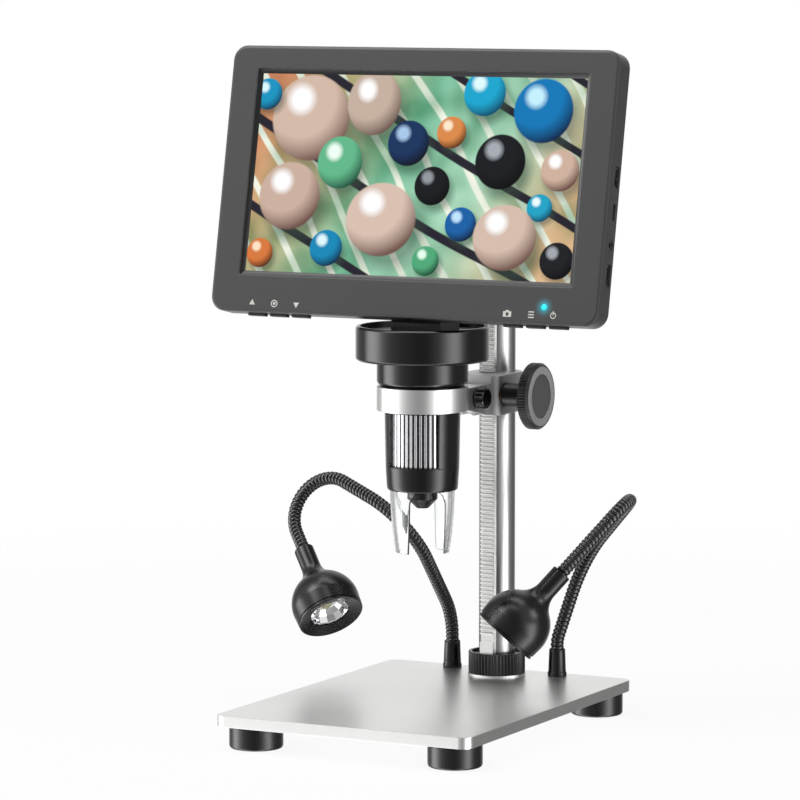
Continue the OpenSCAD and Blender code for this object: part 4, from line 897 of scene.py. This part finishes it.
def shadeOutline(look):
    # from the reflector's seat over the mouth, round the dome, along the blend and up the sleeve to its bore
    dome, blend, sleeve, top = look["dome"], look["blend"], look["sleeve"], look["length"]
    blendX = sleeve + blend
    blendUp = look["domeUp"] + math.sqrt((dome + blend) ** 2 - blendX ** 2)
    touch = math.atan2(blendUp - look["domeUp"], blendX)
    outline = [(0, look["seatDepth"]), (look["seat"], look["seatDepth"])] + look["face"]
    for i in range(look["domeSteps"] + 1):
        turn = touch * i / look["domeSteps"]
        outline.append((dome * math.cos(turn), look["domeUp"] + dome * math.sin(turn)))
    for i in range(1, look["blendSteps"] + 1):
        turn = touch * (1 - i / look["blendSteps"])
        outline.append((blendX - blend * math.cos(turn), blendUp - blend * math.sin(turn)))
    outline += [(sleeve - inward, top - down) for inward, down in look["lip"]]
    bore, bottom = look["bore"], top - look["boreDepth"]
    return outline + [(bore, top), (bore, bottom), (0, bottom)]


def makeShade(side, headPlace, look):
    body = side + "_lamp"
    place = Matrix.Scale(0.001, 4) @ headPlace @ Matrix.Translation((0, 0, look["length"]))
    place = place @ Matrix.Rotation(math.pi, 4, "X")
    head = newSpun(body + "_shade", shadeOutline(look), look["round"])
    smoothShaded(applyPlace(head, place), 40)
    handIn(head, body, "lamp_black", [body + "_head"])
    # a faceted bowl throws broken highlights, as a stamped reflector does
    bowl = newSpun(body + "_bowl", look["bowl"], look["facets"])
    applyPlace(bowl, place)
    handIn(bowl, body, "reflector_chrome", [side + "_reflector"])


for side in ("left", "right"):
    route, length, headPlace = neckRoute(neck[side])
    makeNeck(side, route, length, neck)
    makeShade(side, headPlace, lampShade)
print("goosenecks wound and lamp heads spun")


softEdges = {  # node -> width of its broken edges in millimetres; 0 only smooths the shading
    "base_plate": 0.4, "rubber_feet": 0.6, "column_tube": 0.2, "column_collar": 0.25, "column_cap": 0.4,
    "left_lamp_socket": 0.3, "right_lamp_socket": 0.3, "carriage_block": 0.35, "tube_clamp": 0.25,
    "height_knob": 0.1, "knob_face": 0.15, "knob_cap": 0.3, "thumb_screw": 0.2, "head_housing": 0.3,
    "screen_neck": 0.5, "collar_ring": 0.2, "barrel_casing": 0.2, "front_collar": 0.2, "clear_spacer": 0.3,
    "focus_wheel": 0.1, "hinge_bracket": 0.4, "left_led": 0, "right_led": 0, "objective_lens": 0,
    "lens_barrel": 0.15, "up_button": 0.3, "ok_button": 0.3, "down_button": 0.3, "photo_button": 0.3,
    "menu_button": 0.3, "power_button": 0.3, "power_light": 0.2, "toothed_rack": 0.06, "hinge_pin": 0.3,
    "brake_screw": 0.1,
}
for node, edge in softEdges.items():
    softCopy(node, edge, drawnTube if node == "column_tube" else None)
print("edges broken on", len(softEdges), "nodes")


aim = (0, 0, 0.17)  # every lamp points at the middle of the microscope
lamps = {
    "topSoftbox": {"spot": (0.0, -0.2, 2.0), "size": (1.5, 1.5), "power": 22},
    "frontSoftbox": {"spot": (-0.95, -0.95, 1.5), "size": (0.8, 0.8), "power": 15},
    "sideSoftbox": {"spot": (2.0, 0.4, 1.2), "size": (0.8, 0.8), "power": 9},
}


def placeLamps(look):
    for name, lamp in look.items():
        data = bpy.data.lights.new(name, "AREA")
        data.shape = "RECTANGLE"
        data.size, data.size_y = lamp["size"]
        data.energy = lamp["power"]
        holder = bpy.data.objects.new(name, data)
        bpy.context.scene.collection.objects.link(holder)
        holder.visible_camera = False
        holder.location = lamp["spot"]
        holder.rotation_euler = (Vector(aim) - holder.location).to_track_quat("-Z", "Y").to_euler()


# "level" lights what is matt; gloss and glass see the walls, by heading from -X through -Y, +X and +Y: two
# tall light strips and a bright wall behind. A stop of 1 is as strong as "strips", and over the eye-level
# "band" nothing passes "overhead"
room = {"level": "#8c8c8c", "strips": 6, "overhead": 0.17, "band": 0.2,
        "walls": [(0.0, 0.12), (0.025, 0.7), (0.05, 1.0), (0.085, 1.0), (0.12, 0.4), (0.16, 0.17),
                  (0.22, 0.1), (0.3, 0.055), (0.35, 0.055), (0.41, 0.18), (0.445, 0.6), (0.475, 1.0),
                  (0.5, 0.9), (0.53, 0.2), (0.56, 0.06), (0.64, 0.045), (0.675, 0.025), (0.71, 0.045),
                  (0.78, 0.16), (0.87, 0.16), (0.93, 0.07), (0.98, 0.07)]}


def makeRoom(look):
    world = bpy.data.worlds.new("studio")
    bpy.context.scene.world = world
    world.use_nodes = True
    tree = world.node_tree
    tree.nodes.clear()
    ray = addNode(tree, "ShaderNodeLightPath")
    direction = addNode(tree, "ShaderNodeTexCoord").outputs["Generated"]
    parts = addNode(tree, "ShaderNodeSeparateXYZ", {"Vector": direction})
    angle = addNode(tree, "ShaderNodeMath", {0: parts.outputs["Y"], 1: parts.outputs["X"]},
                    operation="ARCTAN2")
    heading = addNode(tree, "ShaderNodeMapRange", {
        "Value": angle.outputs["Value"], "From Min": -math.pi, "From Max": math.pi})
    walls = addNode(tree, "ShaderNodeValToRGB", {"Fac": heading.outputs["Result"]}, stops=look["walls"])
    # the strips end near eye level, so that flat tops don't mirror them
    rise = addNode(tree, "ShaderNodeMapRange", {
        "Value": parts.outputs["Z"], "From Min": 0, "From Max": look["band"],
        "To Min": 1, "To Max": look["overhead"]})
    shown = addNode(tree, "ShaderNodeMath", {0: walls.outputs["Color"], 1: rise.outputs["Result"]},
                    operation="MINIMUM")
    seen = addNode(tree, "ShaderNodeMath", {
        0: ray.outputs["Is Glossy Ray"], 1: ray.outputs["Is Transmission Ray"]}, operation="MAXIMUM")
    plain = addNode(tree, "ShaderNodeMix", {
        0: ray.outputs["Is Camera Ray"], 6: linear(look["level"]), 7: (1, 1, 1, 1)}, data_type="RGBA")
    colour = addNode(tree, "ShaderNodeMix", {
        0: seen.outputs["Value"], 6: plain.outputs[2], 7: shown.outputs["Value"]}, data_type="RGBA")
    power = addNode(tree, "ShaderNodeMapRange", {
        "Value": seen.outputs["Value"], "To Min": 1, "To Max": look["strips"]})
    back = addNode(tree, "ShaderNodeBackground", {
        "Color": colour.outputs[2], "Strength": power.outputs["Result"]})
    addNode(tree, "ShaderNodeOutputWorld", {"Surface": back.outputs["Background"]})


# "own" is how much of the paper shows as plain white; "clear" is where it starts to thin out and where it is
# gone, in metres from the microscope
paper = {"size": 12, "colour": "#e6e6e6", "own": 0.9, "clear": (0.35, 0.75)}


def makeFloor(look):
    bpy.ops.object.select_all(action="DESELECT")
    bpy.ops.mesh.primitive_plane_add(size=look["size"], location=(0, 0, 0))
    floor = bpy.context.object
    floor.name = "studio_floor"
    material = bpy.data.materials.new("pale paper floor")
    material.use_nodes = True
    tree = material.node_tree
    tree.nodes.clear()
    ray = addNode(tree, "ShaderNodeLightPath")
    shown = addNode(tree, "ShaderNodeMath", {
        0: ray.outputs["Is Transmission Ray"], 1: ray.outputs["Is Camera Ray"]}, operation="MAXIMUM")
    part = addNode(tree, "ShaderNodeMath", {0: shown.outputs["Value"], 1: look["own"]}, operation="MULTIPLY")
    matt = addNode(tree, "ShaderNodeBsdfDiffuse", {"Color": linear(look["colour"])})
    white = addNode(tree, "ShaderNodeEmission", {"Color": (1, 1, 1, 1), "Strength": 1})
    both = addNode(tree, "ShaderNodeMixShader", {
        "Fac": part.outputs["Value"], 1: matt.outputs["BSDF"], 2: white.outputs["Emission"]})
    # the paper thins out into the room, so that no edge or horizon shows, and gloss looks past it at the room
    place = addNode(tree, "ShaderNodeTexCoord").outputs["Object"]
    reach = addNode(tree, "ShaderNodeVectorMath", {0: place}, operation="LENGTH")
    thin = addNode(tree, "ShaderNodeMapRange", {
        "Value": reach.outputs["Value"], "From Min": look["clear"][0], "From Max": look["clear"][1]},
        interpolation_type="SMOOTHSTEP")
    gone = addNode(tree, "ShaderNodeBsdfTransparent")
    away = addNode(tree, "ShaderNodeMath", {
        0: thin.outputs["Result"], 1: ray.outputs["Is Glossy Ray"]}, operation="MAXIMUM")
    sheetOut = addNode(tree, "ShaderNodeMixShader", {
        "Fac": away.outputs["Value"], 1: both.outputs["Shader"], 2: gone.outputs["BSDF"]})
    addNode(tree, "ShaderNodeOutputMaterial", {"Surface": sheetOut.outputs["Shader"]})
    floor.data.materials.append(material)


placeLamps(lamps)
makeRoom(room)
makeFloor(paper)
bpy.context.scene.view_settings.view_transform = "Standard"
print("studio lit")

bpy.ops.object.select_all(action="DESELECT")
